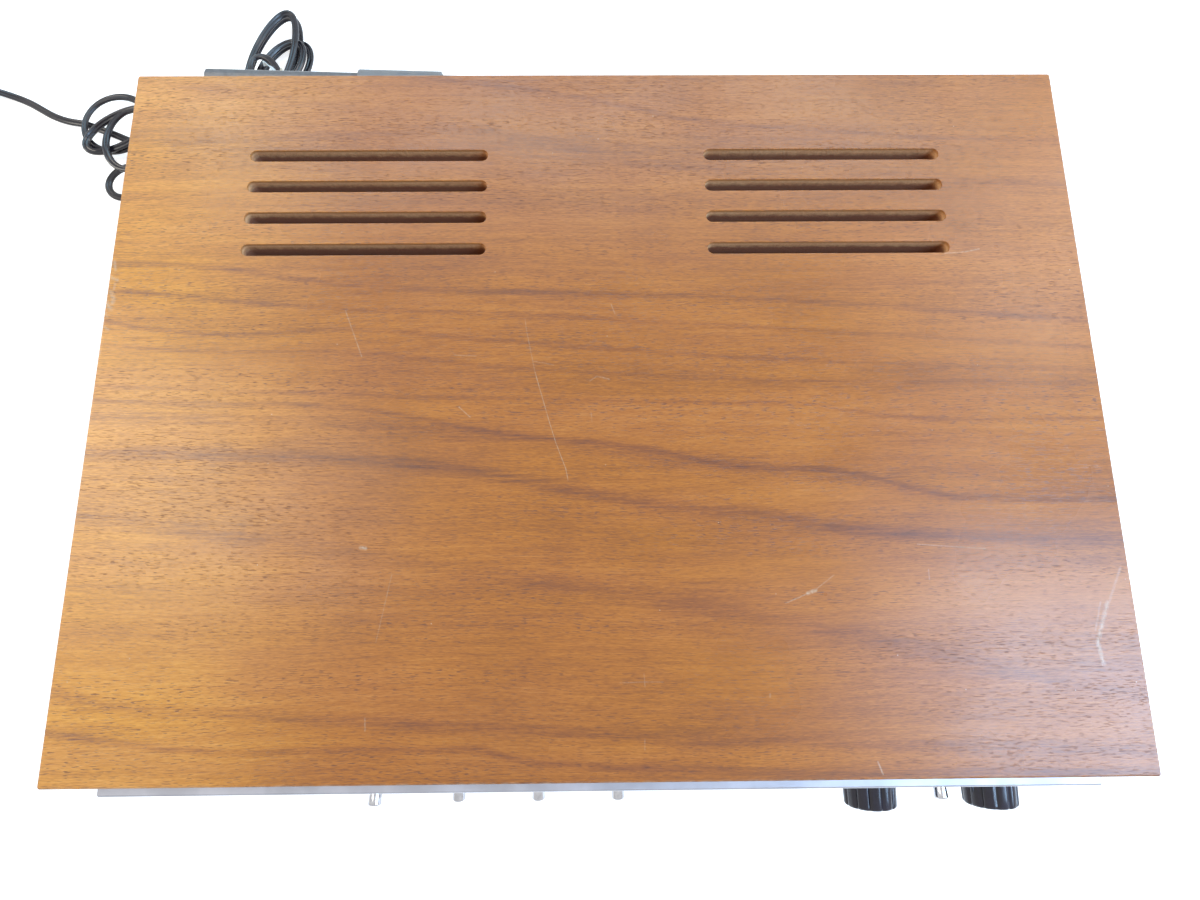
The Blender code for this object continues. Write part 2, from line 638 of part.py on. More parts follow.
def make_feet():
    """Four turned rubber feet under the bottom board."""
    height = FOOT_HEIGHT - FIT
    profile = [(0.0, 0.0), (FOOT_TREAD_RADIUS - FOOT_EDGE, 0.0), (FOOT_TREAD_RADIUS, FOOT_EDGE),
               (FOOT_TOP_RADIUS, height - FOOT_EDGE), (FOOT_TOP_RADIUS, height), (0.0, height)]
    ends = {"front": FRONT_Y + FOOT_END_INSET, "rear": REAR_Y - FOOT_END_INSET}
    sides = {"left": FOOT_SIDE_INSET - HALF_WIDTH, "right": HALF_WIDTH - FOOT_SIDE_INSET}
    for end, y in ends.items():
        for side, x in sides.items():
            solid(f"foot_{end}_{side}", turned(profile, FOOT_SIDES), RUBBER, (x, y, 0.0), smooth=True)


def make_fascia():
    """The fascia: a tray with a dial window, holes for shafts and socket, and slots for the levers."""
    half = INNER_HALF - FIT
    low_z, high_z = FOOT_HEIGHT + FIT, CEILING_Z - FIT
    back_y = CHASSIS_Y - FIT
    block = boxes(((-half, FASCIA_Y, low_z), (half, back_y, high_z)))
    front = [edge for edge in block.edges if all(v.co.y < FRONT_Y for v in edge.verts)]
    bmesh.ops.bevel(block, geom=front, offset=FASCIA_EDGE, segments=2, profile=ROUND_SHARE, affect="EDGES")
    fascia = solid("fascia", block, ALUMINIUM)
    pocket_half = half - FASCIA_RIM
    pocket = boxes(((-pocket_half, FASCIA_Y + FASCIA_PLATE, low_z + FASCIA_RIM),
                    (pocket_half, back_y + OVERRUN, high_z - FASCIA_RIM)))
    shape(fascia, pocket)
    through = FASCIA_PLATE + 2 * OVERRUN
    holes = bmesh.new()
    window = rounded((-WINDOW_HALF_WIDTH, WINDOW_BOTTOM_Z), (WINDOW_HALF_WIDTH, WINDOW_TOP_Z), WINDOW_CORNER)
    cuts = [window, circle((JACK_X, LOWER_ROW_Z), JACK_BARREL_RADIUS + FIT, CONTROL_SIDES)]
    for x, z in ((BASS_X, UPPER_ROW_Z), (TREBLE_X, UPPER_ROW_Z), (SPEAKER_X, LOWER_ROW_Z), (TUNING_X, TUNING_Z),
                 (BALANCE_X, LOWER_ROW_Z), (VOLUME_X, LOWER_ROW_Z), (SELECTOR_X, LOWER_ROW_Z)):
        cuts.append(circle((x, z), SHAFT_RADIUS + RUNNING, CONTROL_SIDES))
    for x in LEVER_PLACES:
        low = (x - LEVER_SLOT_WIDTH / 2, UPPER_ROW_Z - LEVER_SLOT_HEIGHT / 2)
        high = (x + LEVER_SLOT_WIDTH / 2, UPPER_ROW_Z + LEVER_SLOT_HEIGHT / 2)
        cuts.append(rounded(low, high, LEVER_SLOT_WIDTH / 4, 2))
    for outline in cuts:
        cutter = plate(outline, (), through)
        shifted = bpy.data.meshes.new("outline")
        cutter.to_mesh(shifted)
        cutter.free()
        holes.from_mesh(shifted)
        bpy.data.meshes.remove(shifted)
    shape(fascia, holes, place=(0.0, FASCIA_Y - OVERRUN + through, 0.0), turn=(QUARTER, 0.0, 0.0))


def make_dial():
    """Window glass, dial plate, pointer, and the signal meter with its needle."""
    front = FASCIA_Y + FASCIA_PLATE + FIT
    low = (-WINDOW_HALF_WIDTH - GLASS_LAP, front, WINDOW_BOTTOM_Z - GLASS_LAP)
    glass_top = CEILING_Z - FIT - FASCIA_RIM - FIT
    high = (WINDOW_HALF_WIDTH + GLASS_LAP, front + GLASS_THICKNESS, min(WINDOW_TOP_Z + GLASS_LAP, glass_top))
    solid("dial_glass", boxes((low, high)), DARK_GLASS)

    face = FRONT_Y + DIAL_DEPTH
    seat = CHASSIS_Y - FIT
    hat = [(DIAL_LEFT_X - DIAL_FLANGE, seat), (DIAL_LEFT_X - DIAL_FLANGE, seat - DIAL_SHEET),
           (DIAL_LEFT_X, seat - DIAL_SHEET), (DIAL_LEFT_X, face), (DIAL_RIGHT_X, face),
           (DIAL_RIGHT_X, seat - DIAL_SHEET), (DIAL_RIGHT_X + DIAL_FLANGE, seat - DIAL_SHEET),
           (DIAL_RIGHT_X + DIAL_FLANGE, seat), (DIAL_RIGHT_X - DIAL_SHEET, seat),
           (DIAL_RIGHT_X - DIAL_SHEET, face + DIAL_SHEET), (DIAL_LEFT_X + DIAL_SHEET, face + DIAL_SHEET),
           (DIAL_LEFT_X + DIAL_SHEET, seat)]
    solid("dial_plate", plate(hat, (), DIAL_TOP_Z - DIAL_BOTTOM_Z), BLACK_MATTE, (0.0, 0.0, DIAL_BOTTOM_Z))

    ahead = face - RUNNING
    behind = face + DIAL_SHEET + RUNNING
    over = DIAL_TOP_Z + RUNNING
    hook = [(ahead - POINTER_THICKNESS, POINTER_BOTTOM_Z), (ahead, POINTER_BOTTOM_Z), (ahead, over),
            (behind, over), (behind, over - POINTER_TAIL), (behind + POINTER_THICKNESS, over - POINTER_TAIL),
            (behind + POINTER_THICKNESS, over + POINTER_THICKNESS),
            (ahead - POINTER_THICKNESS, over + POINTER_THICKNESS)]
    outline = [(y - ahead, z - DIAL_TOP_Z) for y, z in hook]
    pointer = plate(outline, (), POINTER_WIDTH)
    bmesh.ops.translate(pointer, verts=pointer.verts, vec=(0.0, 0.0, -POINTER_WIDTH / 2))
    solid("dial_pointer", pointer, RED, (POINTER_X, ahead, DIAL_TOP_Z), (QUARTER, 0.0, QUARTER))

    make_meter(front + GLASS_THICKNESS + FIT, seat)


def make_meter(front, back):
    """The meter's housing with an open well, and a needle on its pivot in the well."""
    half = METER_WIDTH / 2
    housing = boxes(((METER_X - half, front, METER_BOTTOM_Z), (METER_X + half, back, METER_TOP_Z)))
    face = min(housing.faces, key=lambda item: item.calc_center_median().y)
    bmesh.ops.inset_region(housing, faces=[face], thickness=METER_WALL, use_even_offset=True)
    sunk = bmesh.ops.extrude_face_region(housing, geom=[face])
    bmesh.ops.delete(housing, geom=[face], context="FACES")
    moved = [item for item in sunk["geom"] if isinstance(item, bmesh.types.BMVert)]
    bmesh.ops.translate(housing, verts=moved, vec=(0.0, METER_WELL, 0.0))
    solid("signal_meter", housing, CREAM)

    hub = circle((0.0, 0.0), NEEDLE_HUB_RADIUS, CONTROL_SIDES)
    upper = [point for point in hub if point[1] > -NEEDLE_WIDTH]
    lower = [point for point in hub if point[1] <= -NEEDLE_WIDTH]
    half_width = NEEDLE_WIDTH / 2
    right = sorted((p for p in upper if p[0] > half_width), key=lambda p: p[1])
    left = sorted((p for p in upper if p[0] < -half_width), key=lambda p: -p[1])
    blade = [(half_width, NEEDLE_LENGTH), (-half_width, NEEDLE_LENGTH)]
    outline = right + blade + left + sorted(lower, key=lambda p: p[0])
    pivot = (METER_X, front + METER_WELL - RUNNING, METER_BOTTOM_Z + METER_WALL + NEEDLE_PIVOT_RISE)
    solid("meter_needle", plate(outline, (), NEEDLE_THICKNESS), RED, pivot, (QUARTER, NEEDLE_REST, 0.0))


def fluted_ring(radius, depth, height):
    """A ring of points with shallow grooves between round lobes."""
    ring = []
    count = FLUTES * FLUTE_POINTS
    for index in range(count):
        angle = 2 * math.pi * index / count
        lobe = abs(math.sin(FLUTES * angle / 2))
        reach = radius - depth * (1.0 - lobe) ** 2
        ring.append((reach * math.cos(angle), reach * math.sin(angle), height))
    return ring


def make_knob(name, x, z, radius, length, shaft_back):
    """A fluted knob with a thin skirt and its shaft, turning on an axis square to the fascia."""
    skirt_top = KNOB_GAP + KNOB_SKIRT_HEIGHT
    rings = [fluted_ring(SHAFT_RADIUS, 0.0, -shaft_back), fluted_ring(SHAFT_RADIUS, 0.0, KNOB_GAP),
             fluted_ring(radius + KNOB_SKIRT, 0.0, KNOB_GAP),
             fluted_ring(radius + KNOB_SKIRT, 0.0, skirt_top),
             fluted_ring(radius, GROOVE, skirt_top),
             fluted_ring(radius - KNOB_TAPER, GROOVE, length - KNOB_CHAMFER),
             fluted_ring(radius - KNOB_TAPER - KNOB_CHAMFER, GROOVE / 2, length),
             fluted_ring(radius - KNOB_TAPER - 2 * KNOB_CHAMFER, 0.0, length - KNOB_DISH)]
    if shaft_back == 0.0:
        rings = rings[2:]
    solid(name, lofted(rings), BLACK_GLOSS, (x, FASCIA_Y, z), (QUARTER, 0.0, 0.0), smooth=True)


def make_control(name, x, z, radius, depth):
    """A potentiometer or rotary switch: a threaded bush through the chassis wall and a can behind it."""
    wall_back = SHEET + FIT
    bore = SHAFT_RADIUS + RUNNING
    blind = depth / 2
    profile = [(0.0, wall_back + blind), (bore, wall_back + blind), (bore, -BUSH_LENGTH),
               (BUSH_RADIUS, -BUSH_LENGTH), (BUSH_RADIUS, wall_back), (radius, wall_back),
               (radius, wall_back + depth), (0.0, wall_back + depth)]
    place = (x, CHASSIS_Y, z)
    solid(name, turned(profile, CONTROL_SIDES), STEEL, place, (-QUARTER, 0.0, 0.0), smooth=True)


def make_knobs_and_controls():
    """Every knob, and the control that it turns."""
    reach = CHASSIS_Y - FASCIA_Y + SHEET + FIT
    pot_back = reach + CAN_DEPTH / 2 - RUNNING
    switch_back = reach + SWITCH_DEPTH / 2 - RUNNING
    small = (SMALL_KNOB_RADIUS, SMALL_KNOB_LENGTH)
    large = (LARGE_KNOB_RADIUS, LARGE_KNOB_LENGTH)
    make_knob("bass_knob", BASS_X, UPPER_ROW_Z, *small, pot_back)
    make_knob("treble_knob", TREBLE_X, UPPER_ROW_Z, *small, pot_back)
    make_knob("balance_knob", BALANCE_X, LOWER_ROW_Z, *small, pot_back)
    make_knob("volume_knob", VOLUME_X, LOWER_ROW_Z, *large, pot_back)
    make_knob("speaker_knob", SPEAKER_X, LOWER_ROW_Z, *large, switch_back)
    make_knob("selector_knob", SELECTOR_X, LOWER_ROW_Z, *large, switch_back)
    make_control("bass_control", BASS_X, UPPER_ROW_Z, CAN_RADIUS, CAN_DEPTH)
    make_control("treble_control", TREBLE_X, UPPER_ROW_Z, CAN_RADIUS, CAN_DEPTH)
    make_control("balance_control", BALANCE_X, LOWER_ROW_Z, CAN_RADIUS, CAN_DEPTH)
    make_control("volume_control", VOLUME_X, LOWER_ROW_Z, CAN_RADIUS, CAN_DEPTH)
    make_control("speaker_switch", SPEAKER_X, LOWER_ROW_Z, SWITCH_RADIUS, SWITCH_DEPTH)
    make_control("selector_switch", SELECTOR_X, LOWER_ROW_Z, SWITCH_RADIUS, SWITCH_DEPTH)


def make_levers():
    """Bat levers, some up and some down, and the bank of switches that carries them."""
    length = LEVER_PIVOT_DEPTH + LEVER_REACH
    ball = []
    for step in range(6):
        angle = math.pi * step / 6
        ball.append((LEVER_BALL_RADIUS * math.sin(angle), -LEVER_BALL_RADIUS * math.cos(angle)))
    neck = math.sqrt(LEVER_BALL_RADIUS ** 2 - LEVER_NECK_RADIUS ** 2)
    profile = ball + [(LEVER_NECK_RADIUS, neck), (LEVER_TIP_RADIUS, length - LEVER_EDGE),
                      (LEVER_TIP_RADIUS - LEVER_EDGE, length), (0.0, length)]
    names = ("muting_lever", "loudness_lever", "monitor_lever", "mode_lever", "filter_lever")
    raised = (1, -1, -1, -1, 1)
    pivot_y = FRONT_Y + LEVER_PIVOT_DEPTH
    for name, x, side in zip(names, LEVER_PLACES, raised):
        place = (x, pivot_y, UPPER_ROW_Z)
        tilt = QUARTER - side * LEVER_THROW
        solid(name, turned(profile, CONTROL_SIDES), CHROME, place, (tilt, 0.0, 0.0), smooth=True)

    seat = CHASSIS_Y - FIT
    left = LEVER_FIRST_X - BANK_END
    right = FILTER_LEVER_X + BANK_END
    low, high = (left, UPPER_ROW_Z - BANK_HALF_HEIGHT), (right, UPPER_ROW_Z + BANK_HALF_HEIGHT)
    hole = circle((BASS_X, UPPER_ROW_Z), BUSH_RADIUS + FIT, CONTROL_SIDES)
    strip = plate(rectangle(low, high), [hole], BANK_SHEET)
    bank = solid("lever_switch_bank", strip, STEEL, (0.0, seat, 0.0), (QUARTER, 0.0, 0.0))
    fittings = bmesh.new()
    inner = LEVER_BALL_RADIUS + FIT
    ear_front = pivot_y - LEVER_NECK_RADIUS
    for x in LEVER_PLACES:
        for side in (-1, 1):
            near, far = sorted((x + side * inner, x + side * (inner + LEVER_EAR)))
            add_box(fittings, (near, ear_front, UPPER_ROW_Z - LEVER_EAR_HALF_HEIGHT),
                    (far, seat - BANK_SHEET / 2, UPPER_ROW_Z + LEVER_EAR_HALF_HEIGHT))
        half, rise = SWITCH_BODY_WIDTH / 2, SWITCH_BODY_HEIGHT / 2
        add_box(fittings, (x - half, seat - BANK_SHEET / 4, UPPER_ROW_Z - rise),
                (x + half, seat + SWITCH_BODY_DEPTH, UPPER_ROW_Z + rise))
    shape(bank, fittings, "UNION")


def make_jack():
    """The headphone socket: a flanged barrel through the fascia and chassis, open at the front."""
    front = -JACK_FLANGE - FIT
    wall = CHASSIS_Y - FASCIA_Y + SHEET + FIT
    end = wall + JACK_BODY_LENGTH
    profile = [(0.0, end - JACK_END_WALL), (JACK_BORE_RADIUS, end - JACK_END_WALL), (JACK_BORE_RADIUS, front),
               (JACK_FLANGE_RADIUS, front), (JACK_FLANGE_RADIUS, -FIT), (JACK_BARREL_RADIUS, -FIT),
               (JACK_BARREL_RADIUS, wall), (JACK_BODY_RADIUS, wall), (JACK_BODY_RADIUS, end), (0.0, end)]
    place = (JACK_X, FASCIA_Y, LOWER_ROW_Z)
    solid("phones_jack", turned(profile, CONTROL_SIDES), BLACK_MATTE, place, (-QUARTER, 0.0, 0.0), smooth=True)


def make_chassis():
    """A tray of folded sheet: front wall, floor and a low rear lip, with the holes of what it carries."""
    half = INNER_HALF - CHASSIS_SIDE_GAP
    low = FLOOR_Z + FIT
    fold = [(CHASSIS_Y, low), (CHASSIS_REAR_Y, low), (CHASSIS_REAR_Y, low + CHASSIS_REAR_LIP),
            (CHASSIS_REAR_Y - SHEET, low + CHASSIS_REAR_LIP), (CHASSIS_REAR_Y - SHEET, low + SHEET),
            (CHASSIS_Y + SHEET, low + SHEET), (CHASSIS_Y + SHEET, CHASSIS_FRONT_TOP_Z),
            (CHASSIS_Y, CHASSIS_FRONT_TOP_Z)]
    chassis = solid("chassis", plate(fold, (), 2 * half), STEEL, (-half, 0.0, 0.0), (QUARTER, 0.0, QUARTER))
    cutters = bmesh.new()
    through = SHEET + 2 * OVERRUN
    turn = Matrix.Rotation(QUARTER, 4, "X")

    def bore(x, z, radius):
        matrix = Matrix.Translation((x, CHASSIS_Y + SHEET / 2, z)) @ turn
        bmesh.ops.create_cone(cutters, cap_ends=True, segments=CONTROL_SIDES, radius1=radius, radius2=radius,
                              depth=through, matrix=matrix)

    for x, z in ((BASS_X, UPPER_ROW_Z), (TREBLE_X, UPPER_ROW_Z), (SPEAKER_X, LOWER_ROW_Z),
                 (BALANCE_X, LOWER_ROW_Z), (VOLUME_X, LOWER_ROW_Z), (SELECTOR_X, LOWER_ROW_Z)):
        bore(x, z, BUSH_RADIUS + FIT)
    bore(JACK_X, LOWER_ROW_Z, JACK_BARREL_RADIUS + FIT)
    bore(TUNING_X, TUNING_Z, SHAFT_RADIUS + FIT)
    half_width = SWITCH_BODY_WIDTH / 2 + FIT
    half_height = SWITCH_BODY_HEIGHT / 2 + FIT
    for x in LEVER_PLACES:
        add_box(cutters, (x - half_width, CHASSIS_Y - OVERRUN, UPPER_ROW_Z - half_height),
                (x + half_width, CHASSIS_Y + SHEET + OVERRUN, UPPER_ROW_Z + half_height))
    shape(chassis, cutters)


def make_tuner():
    """Tuning knob, shaft and flywheel, and the drum and vanes that they turn."""
    make_knob("tuning_knob", TUNING_X, TUNING_Z, TUNING_KNOB_RADIUS, TUNING_KNOB_LENGTH, 0.0)
    drum_back = DRUM_DEPTH + DRUM_THICKNESS
    shaft = [(0.0, -FASCIA_PROUD), (SHAFT_RADIUS, -FASCIA_PROUD), (SHAFT_RADIUS, DRUM_DEPTH),
             (SPOOL_RADIUS, DRUM_DEPTH), (SPOOL_RADIUS, drum_back), (0.0, drum_back)]
    place = (TUNING_X, FRONT_Y, TUNING_Z)
    solid("tuning_shaft", turned(shaft, CONTROL_SIDES), BRASS, place, (-QUARTER, 0.0, 0.0), smooth=True)

    rim = FLYWHEEL_RADIUS - FLYWHEEL_RIM
    sink = (FLYWHEEL_THICKNESS - FLYWHEEL_WEB) / 2
    wheel = [(FLYWHEEL_BORE_RADIUS, 0.0), (FLYWHEEL_HUB, 0.0), (FLYWHEEL_HUB, sink), (rim, sink), (rim, 0.0),
             (FLYWHEEL_RADIUS, 0.0), (FLYWHEEL_RADIUS, FLYWHEEL_THICKNESS), (rim, FLYWHEEL_THICKNESS),
             (rim, FLYWHEEL_THICKNESS - sink), (FLYWHEEL_HUB, FLYWHEEL_THICKNESS - sink),
             (FLYWHEEL_HUB, FLYWHEEL_THICKNESS), (FLYWHEEL_BORE_RADIUS, FLYWHEEL_THICKNESS)]
    place = (TUNING_X, FRONT_Y + FLYWHEEL_DEPTH, TUNING_Z)
    solid("tuning_flywheel", turned(wheel, ROUND_SIDES), BRASS, place, (-QUARTER, 0.0, 0.0), smooth=True)

    inner = DRUM_RADIUS - DRUM_RIM
    sink = (DRUM_THICKNESS - DRUM_WEB) / 2
    lip = DRUM_THICKNESS / 4
    drum = [(DRUM_BORE_RADIUS, 0.0), (DRUM_HUB, 0.0), (DRUM_HUB, sink), (inner, sink), (inner, 0.0),
            (DRUM_RADIUS, 0.0), (DRUM_RADIUS - DRUM_GROOVE, lip), (DRUM_RADIUS - DRUM_GROOVE, DRUM_THICKNESS - lip),
            (DRUM_RADIUS, DRUM_THICKNESS), (inner, DRUM_THICKNESS), (inner, DRUM_THICKNESS - sink),
            (DRUM_HUB, DRUM_THICKNESS - sink), (DRUM_HUB, DRUM_THICKNESS), (DRUM_BORE_RADIUS, DRUM_THICKNESS)]
    place = (DRUM_X, FRONT_Y + DRUM_DEPTH, DRUM_Z)
    solid("dial_drum", turned(drum, DRUM_SIDES), CREAM, place, (-QUARTER, 0.0, 0.0), smooth=True)


def vane_ring(radius, height):
    """A ring whose upper half runs out to the vane's edge and whose lower half stays on the hub."""
    ring = []
    for index in range(VANE_POINTS):
        angle = 2 * math.pi * index / VANE_POINTS
        reach = radius if math.sin(angle) > -FIT else min(radius, VANE_HUB_RADIUS)
        ring.append((reach * math.cos(angle), reach * math.sin(angle), height))
    return ring


def make_variable_capacitor():
    """A frame with fixed vanes, and a rotor whose half-round vanes turn in between them."""
    between = VANE_PITCH * VANE_COUNT
    inner_front = FRAME_DEPTH + FRAME_WALL
    inner_back = inner_front + between + VANE_PITCH
    back = inner_back + FRAME_WALL
    base_top = DRUM_Z - FRAME_DROP
    base_low = base_top - FRAME_WALL
    floor = CHASSIS_FLOOR_Z + FIT
    top = DRUM_Z + FRAME_HEAD
    outline = [(FRAME_DEPTH, floor), (inner_front, floor), (inner_front, base_low), (inner_back, base_low),
               (inner_back, floor), (back, floor), (back, top), (inner_back, top), (inner_back, base_top),
               (inner_front, base_top), (inner_front, top), (FRAME_DEPTH, top)]
    place = (DRUM_X - FRAME_HALF_WIDTH, FRONT_Y, 0.0)
    frame = solid("capacitor_frame", plate(outline, (), 2 * FRAME_HALF_WIDTH), ALUMINIUM, place,
                  (QUARTER, 0.0, QUARTER))
    bore = bmesh.new()
    bmesh.ops.create_cone(bore, cap_ends=True, segments=CONTROL_SIDES, radius1=SHAFT_RADIUS + SHAFT_CLEARANCE,
                          radius2=SHAFT_RADIUS + SHAFT_CLEARANCE, depth=back - FRAME_DEPTH + 2 * OVERRUN)
    middle = FRONT_Y + (FRAME_DEPTH + back) / 2
    shape(frame, bore, place=(DRUM_X, middle, DRUM_Z), turn=(QUARTER, 0.0, 0.0))
    stator = bmesh.new()
    for count in range(VANE_COUNT + 1):
        y = FRONT_Y + inner_front + VANE_PITCH * (count + 1 / 2)
        add_box(stator, (DRUM_X - STATOR_OUTER_X, y - VANE_THICKNESS / 2, base_top - FRAME_WALL / 2),
                (DRUM_X - STATOR_INNER_X, y + VANE_THICKNESS / 2, top - FRAME_WALL))
    shape(frame, stator, "UNION")

    nose = FRAME_DEPTH - DRUM_DEPTH
    rings = [vane_ring(SHAFT_RADIUS, -nose)]
    for count in range(VANE_COUNT):
        start = FRAME_WALL + VANE_PITCH * (count + 1) - VANE_THICKNESS / 2
        end = start + VANE_THICKNESS
        rings += [vane_ring(SHAFT_RADIUS, start), vane_ring(VANE_RADIUS, start),
                  vane_ring(VANE_RADIUS, end), vane_ring(SHAFT_RADIUS, end)]
    rings.append(vane_ring(SHAFT_RADIUS, back - FRAME_DEPTH + FRAME_WALL))
    place = (DRUM_X, FRONT_Y + FRAME_DEPTH, DRUM_Z)
    solid("capacitor_rotor", lofted(rings), ALUMINIUM, place, (-QUARTER, 0.0, 0.0))


def make_power_supply():
    """Transformer, filter capacitors and the finned heat sink under the right hand slots."""
    floor = CHASSIS_FLOOR_Z + FIT
    y = REAR_Y - CORE_REAR_INSET
    core = boxes(((-CORE_WIDTH / 2, -CORE_DEPTH / 2, CORE_FOOT), (CORE_WIDTH / 2, CORE_DEPTH / 2, CORE_HEIGHT)))
    transformer = solid("power_transformer", core, BLACK_IRON, (CORE_X, y, floor))
    rise = (CORE_HEIGHT + CORE_FOOT - COIL_HEIGHT) / 2
    coil = boxes(((-COIL_WIDTH / 2, -COIL_DEPTH / 2, rise), (COIL_WIDTH / 2, COIL_DEPTH / 2, rise + COIL_HEIGHT)))
    bmesh.ops.bevel(coil, geom=coil.edges[:], offset=CORE_BEVEL, segments=2, profile=ROUND_SHARE, affect="EDGES")
    shape(transformer, coil, "UNION", (CORE_X, y, floor))
    foot = boxes(((-CORE_FOOT_WIDTH / 2, -CORE_FOOT_DEPTH / 2, 0.0),
                  (CORE_FOOT_WIDTH / 2, CORE_FOOT_DEPTH / 2, CORE_FOOT * 2)))
    shape(transformer, foot, "UNION", (CORE_X, y, floor))

    well = CAPACITOR_RADIUS - CAPACITOR_RIM
    profile = [(0.0, 0.0), (CAPACITOR_RADIUS, 0.0), (CAPACITOR_RADIUS, CAPACITOR_HEIGHT - CAPACITOR_EDGE),
               (CAPACITOR_RADIUS - CAPACITOR_EDGE, CAPACITOR_HEIGHT), (well, CAPACITOR_HEIGHT),
               (well, CAPACITOR_HEIGHT - CAPACITOR_WELL), (0.0, CAPACITOR_HEIGHT - CAPACITOR_WELL)]
    for count, name in enumerate(("filter_capacitor_left", "filter_capacitor_right")):
        place = (CAPACITOR_FIRST_X + CAPACITOR_PITCH * count, REAR_Y - CAPACITOR_REAR_INSET, floor)
        solid(name, turned(profile, ROUND_SIDES), ALUMINIUM, place, smooth=True)

    pitch = (SINK_WIDTH - SINK_FIN) / (SINK_FINS - 1)
    comb = [(0.0, SINK_DEPTH), (SINK_WIDTH, SINK_DEPTH)]
    for count in reversed(range(SINK_FINS)):
        left = pitch * count
        right = left + SINK_FIN
        root = SINK_DEPTH - SINK_BASE
        tooth = [(right, root), (right, 0.0), (left, 0.0), (left, root)]
        comb += tooth[1:] if count == SINK_FINS - 1 else tooth[:3] if count == 0 else tooth
    place = (RIGHT_SLOTS_X - SINK_WIDTH / 2, REAR_Y - SINK_REAR_INSET - SINK_DEPTH, floor)
    solid("heat_sink", plate(comb, (), SINK_HEIGHT), BLACK_ANODISED, place)


def make_main_board():
    """The circuit board on its spacers, with screened cans, relays and round capacitors fused to it."""
    floor = CHASSIS_FLOOR_Z + FIT
    low = floor + BOARD_RISE
    front = FRONT_Y + BOARD_FRONT
    high = low + BOARD_THICKNESS
    slab = boxes(((-BOARD_HALF_WIDTH, front, low), (BOARD_HALF_WIDTH, front + BOARD_LENGTH, high)))
    board = solid("main_board", slab, PHENOLIC)
    fitted = bmesh.new()
    spacer_height = BOARD_RISE + SINK_IN
    for across in (SPACER_INSET - BOARD_HALF_WIDTH, BOARD_HALF_WIDTH - SPACER_INSET):
        for along in (front + SPACER_INSET, front + BOARD_LENGTH - SPACER_INSET):
            bmesh.ops.create_cone(fitted, cap_ends=True, segments=SMALL_SIDES, radius1=SPACER_RADIUS,
                                  radius2=SPACER_RADIUS, depth=spacer_height,
                                  matrix=Matrix.Translation((across, along, floor + spacer_height / 2)))
    seat = high - SINK_IN
    can_shares = ((0.30, 0.20), (0.42, 0.25), (0.55, 0.18), (0.66, 0.30), (0.78, 0.22), (0.88, 0.50))
    relay_shares = ((-0.35, 0.30), (-0.60, 0.65), (0.10, 0.70))
    round_shares = ((-0.15, 0.25), (-0.05, 0.55), (-0.85, 0.40), (0.35, 0.70), (0.60, 0.75))
    for across, along in can_shares:
        x, y = BOARD_HALF_WIDTH * across, front + BOARD_LENGTH * along
        half = CAN_SIDE / 2
        add_box(fitted, (x - half, y - half, seat), (x + half, y + half, seat + CAN_HEIGHT))
    for across, along in relay_shares:
        x, y = BOARD_HALF_WIDTH * across, front + BOARD_LENGTH * along
        half = RELAY_WIDTH / 2
        add_box(fitted, (x - half, y - half, seat), (x + half, y + half, seat + RELAY_HEIGHT))
    for across, along in round_shares:
        x, y = BOARD_HALF_WIDTH * across, front + BOARD_LENGTH * along
        bmesh.ops.create_cone(fitted, cap_ends=True, segments=CONTROL_SIDES, radius1=DRUM_CAP_RADIUS,
                              radius2=DRUM_CAP_RADIUS, depth=DRUM_CAP_HEIGHT,
                              matrix=Matrix.Translation((x, y, seat + DRUM_CAP_HEIGHT / 2)))
    shape(board, fitted, "UNION")


def phono_places():
    """Centres of the phono sockets in X and Z."""
    columns = [PHONO_X + PHONO_PITCH_X * count for count in range(PHONO_COLUMNS)]
    rows = [PHONO_Z + PHONO_PITCH_Z * count for count in range(PHONO_ROWS)]
    return [(x, z) for x in columns for z in rows]


def make_rear_panel():
    """The rear panel with its holes, and the lug and pin that the aerial swings on."""
    half = INNER_HALF - FIT
    holes = [circle(place, PHONO_RADIUS + FIT, SMALL_SIDES) for place in phono_places()]
    holes.append(circle((GLAND_X, GLAND_Z), GLAND_HOLE_RADIUS, PANEL_SIDES))
    outline = rectangle((-half, FLOOR_Z + FIT), (half, CEILING_Z - FIT))
    panel = solid("rear_panel", plate(outline, holes, SHEET), STEEL, (0.0, PANEL_Y, 0.0), (QUARTER, 0.0, 0.0))
    pivot_y = REAR_Y + AERIAL_PIVOT_REACH
    arm_low = AERIAL_ROD_Z - AERIAL_ROD_RADIUS - AERIAL_CRADLE
    lug_top = arm_low - FIT
    lug = boxes(((AERIAL_PIVOT_X - AERIAL_LUG_HALF_WIDTH, PANEL_Y - SHEET / 2, lug_top - AERIAL_LUG_THICKNESS),
                 (AERIAL_PIVOT_X + AERIAL_LUG_HALF_WIDTH, pivot_y + AERIAL_LUG_HALF_WIDTH, lug_top)))
    shape(panel, lug, "UNION")
    pin_length = AERIAL_ARM_THICKNESS + FIT + AERIAL_LUG_THICKNESS / 2 + FIT
    pin = bmesh.new()
    bmesh.ops.create_cone(pin, cap_ends=True, segments=CONTROL_SIDES, radius1=AERIAL_PIN_RADIUS,
                          radius2=AERIAL_PIN_RADIUS, depth=pin_length)
    middle = lug_top - AERIAL_LUG_THICKNESS / 2 + pin_length / 2
    shape(panel, pin, "UNION", (AERIAL_PIVOT_X, pivot_y, middle))


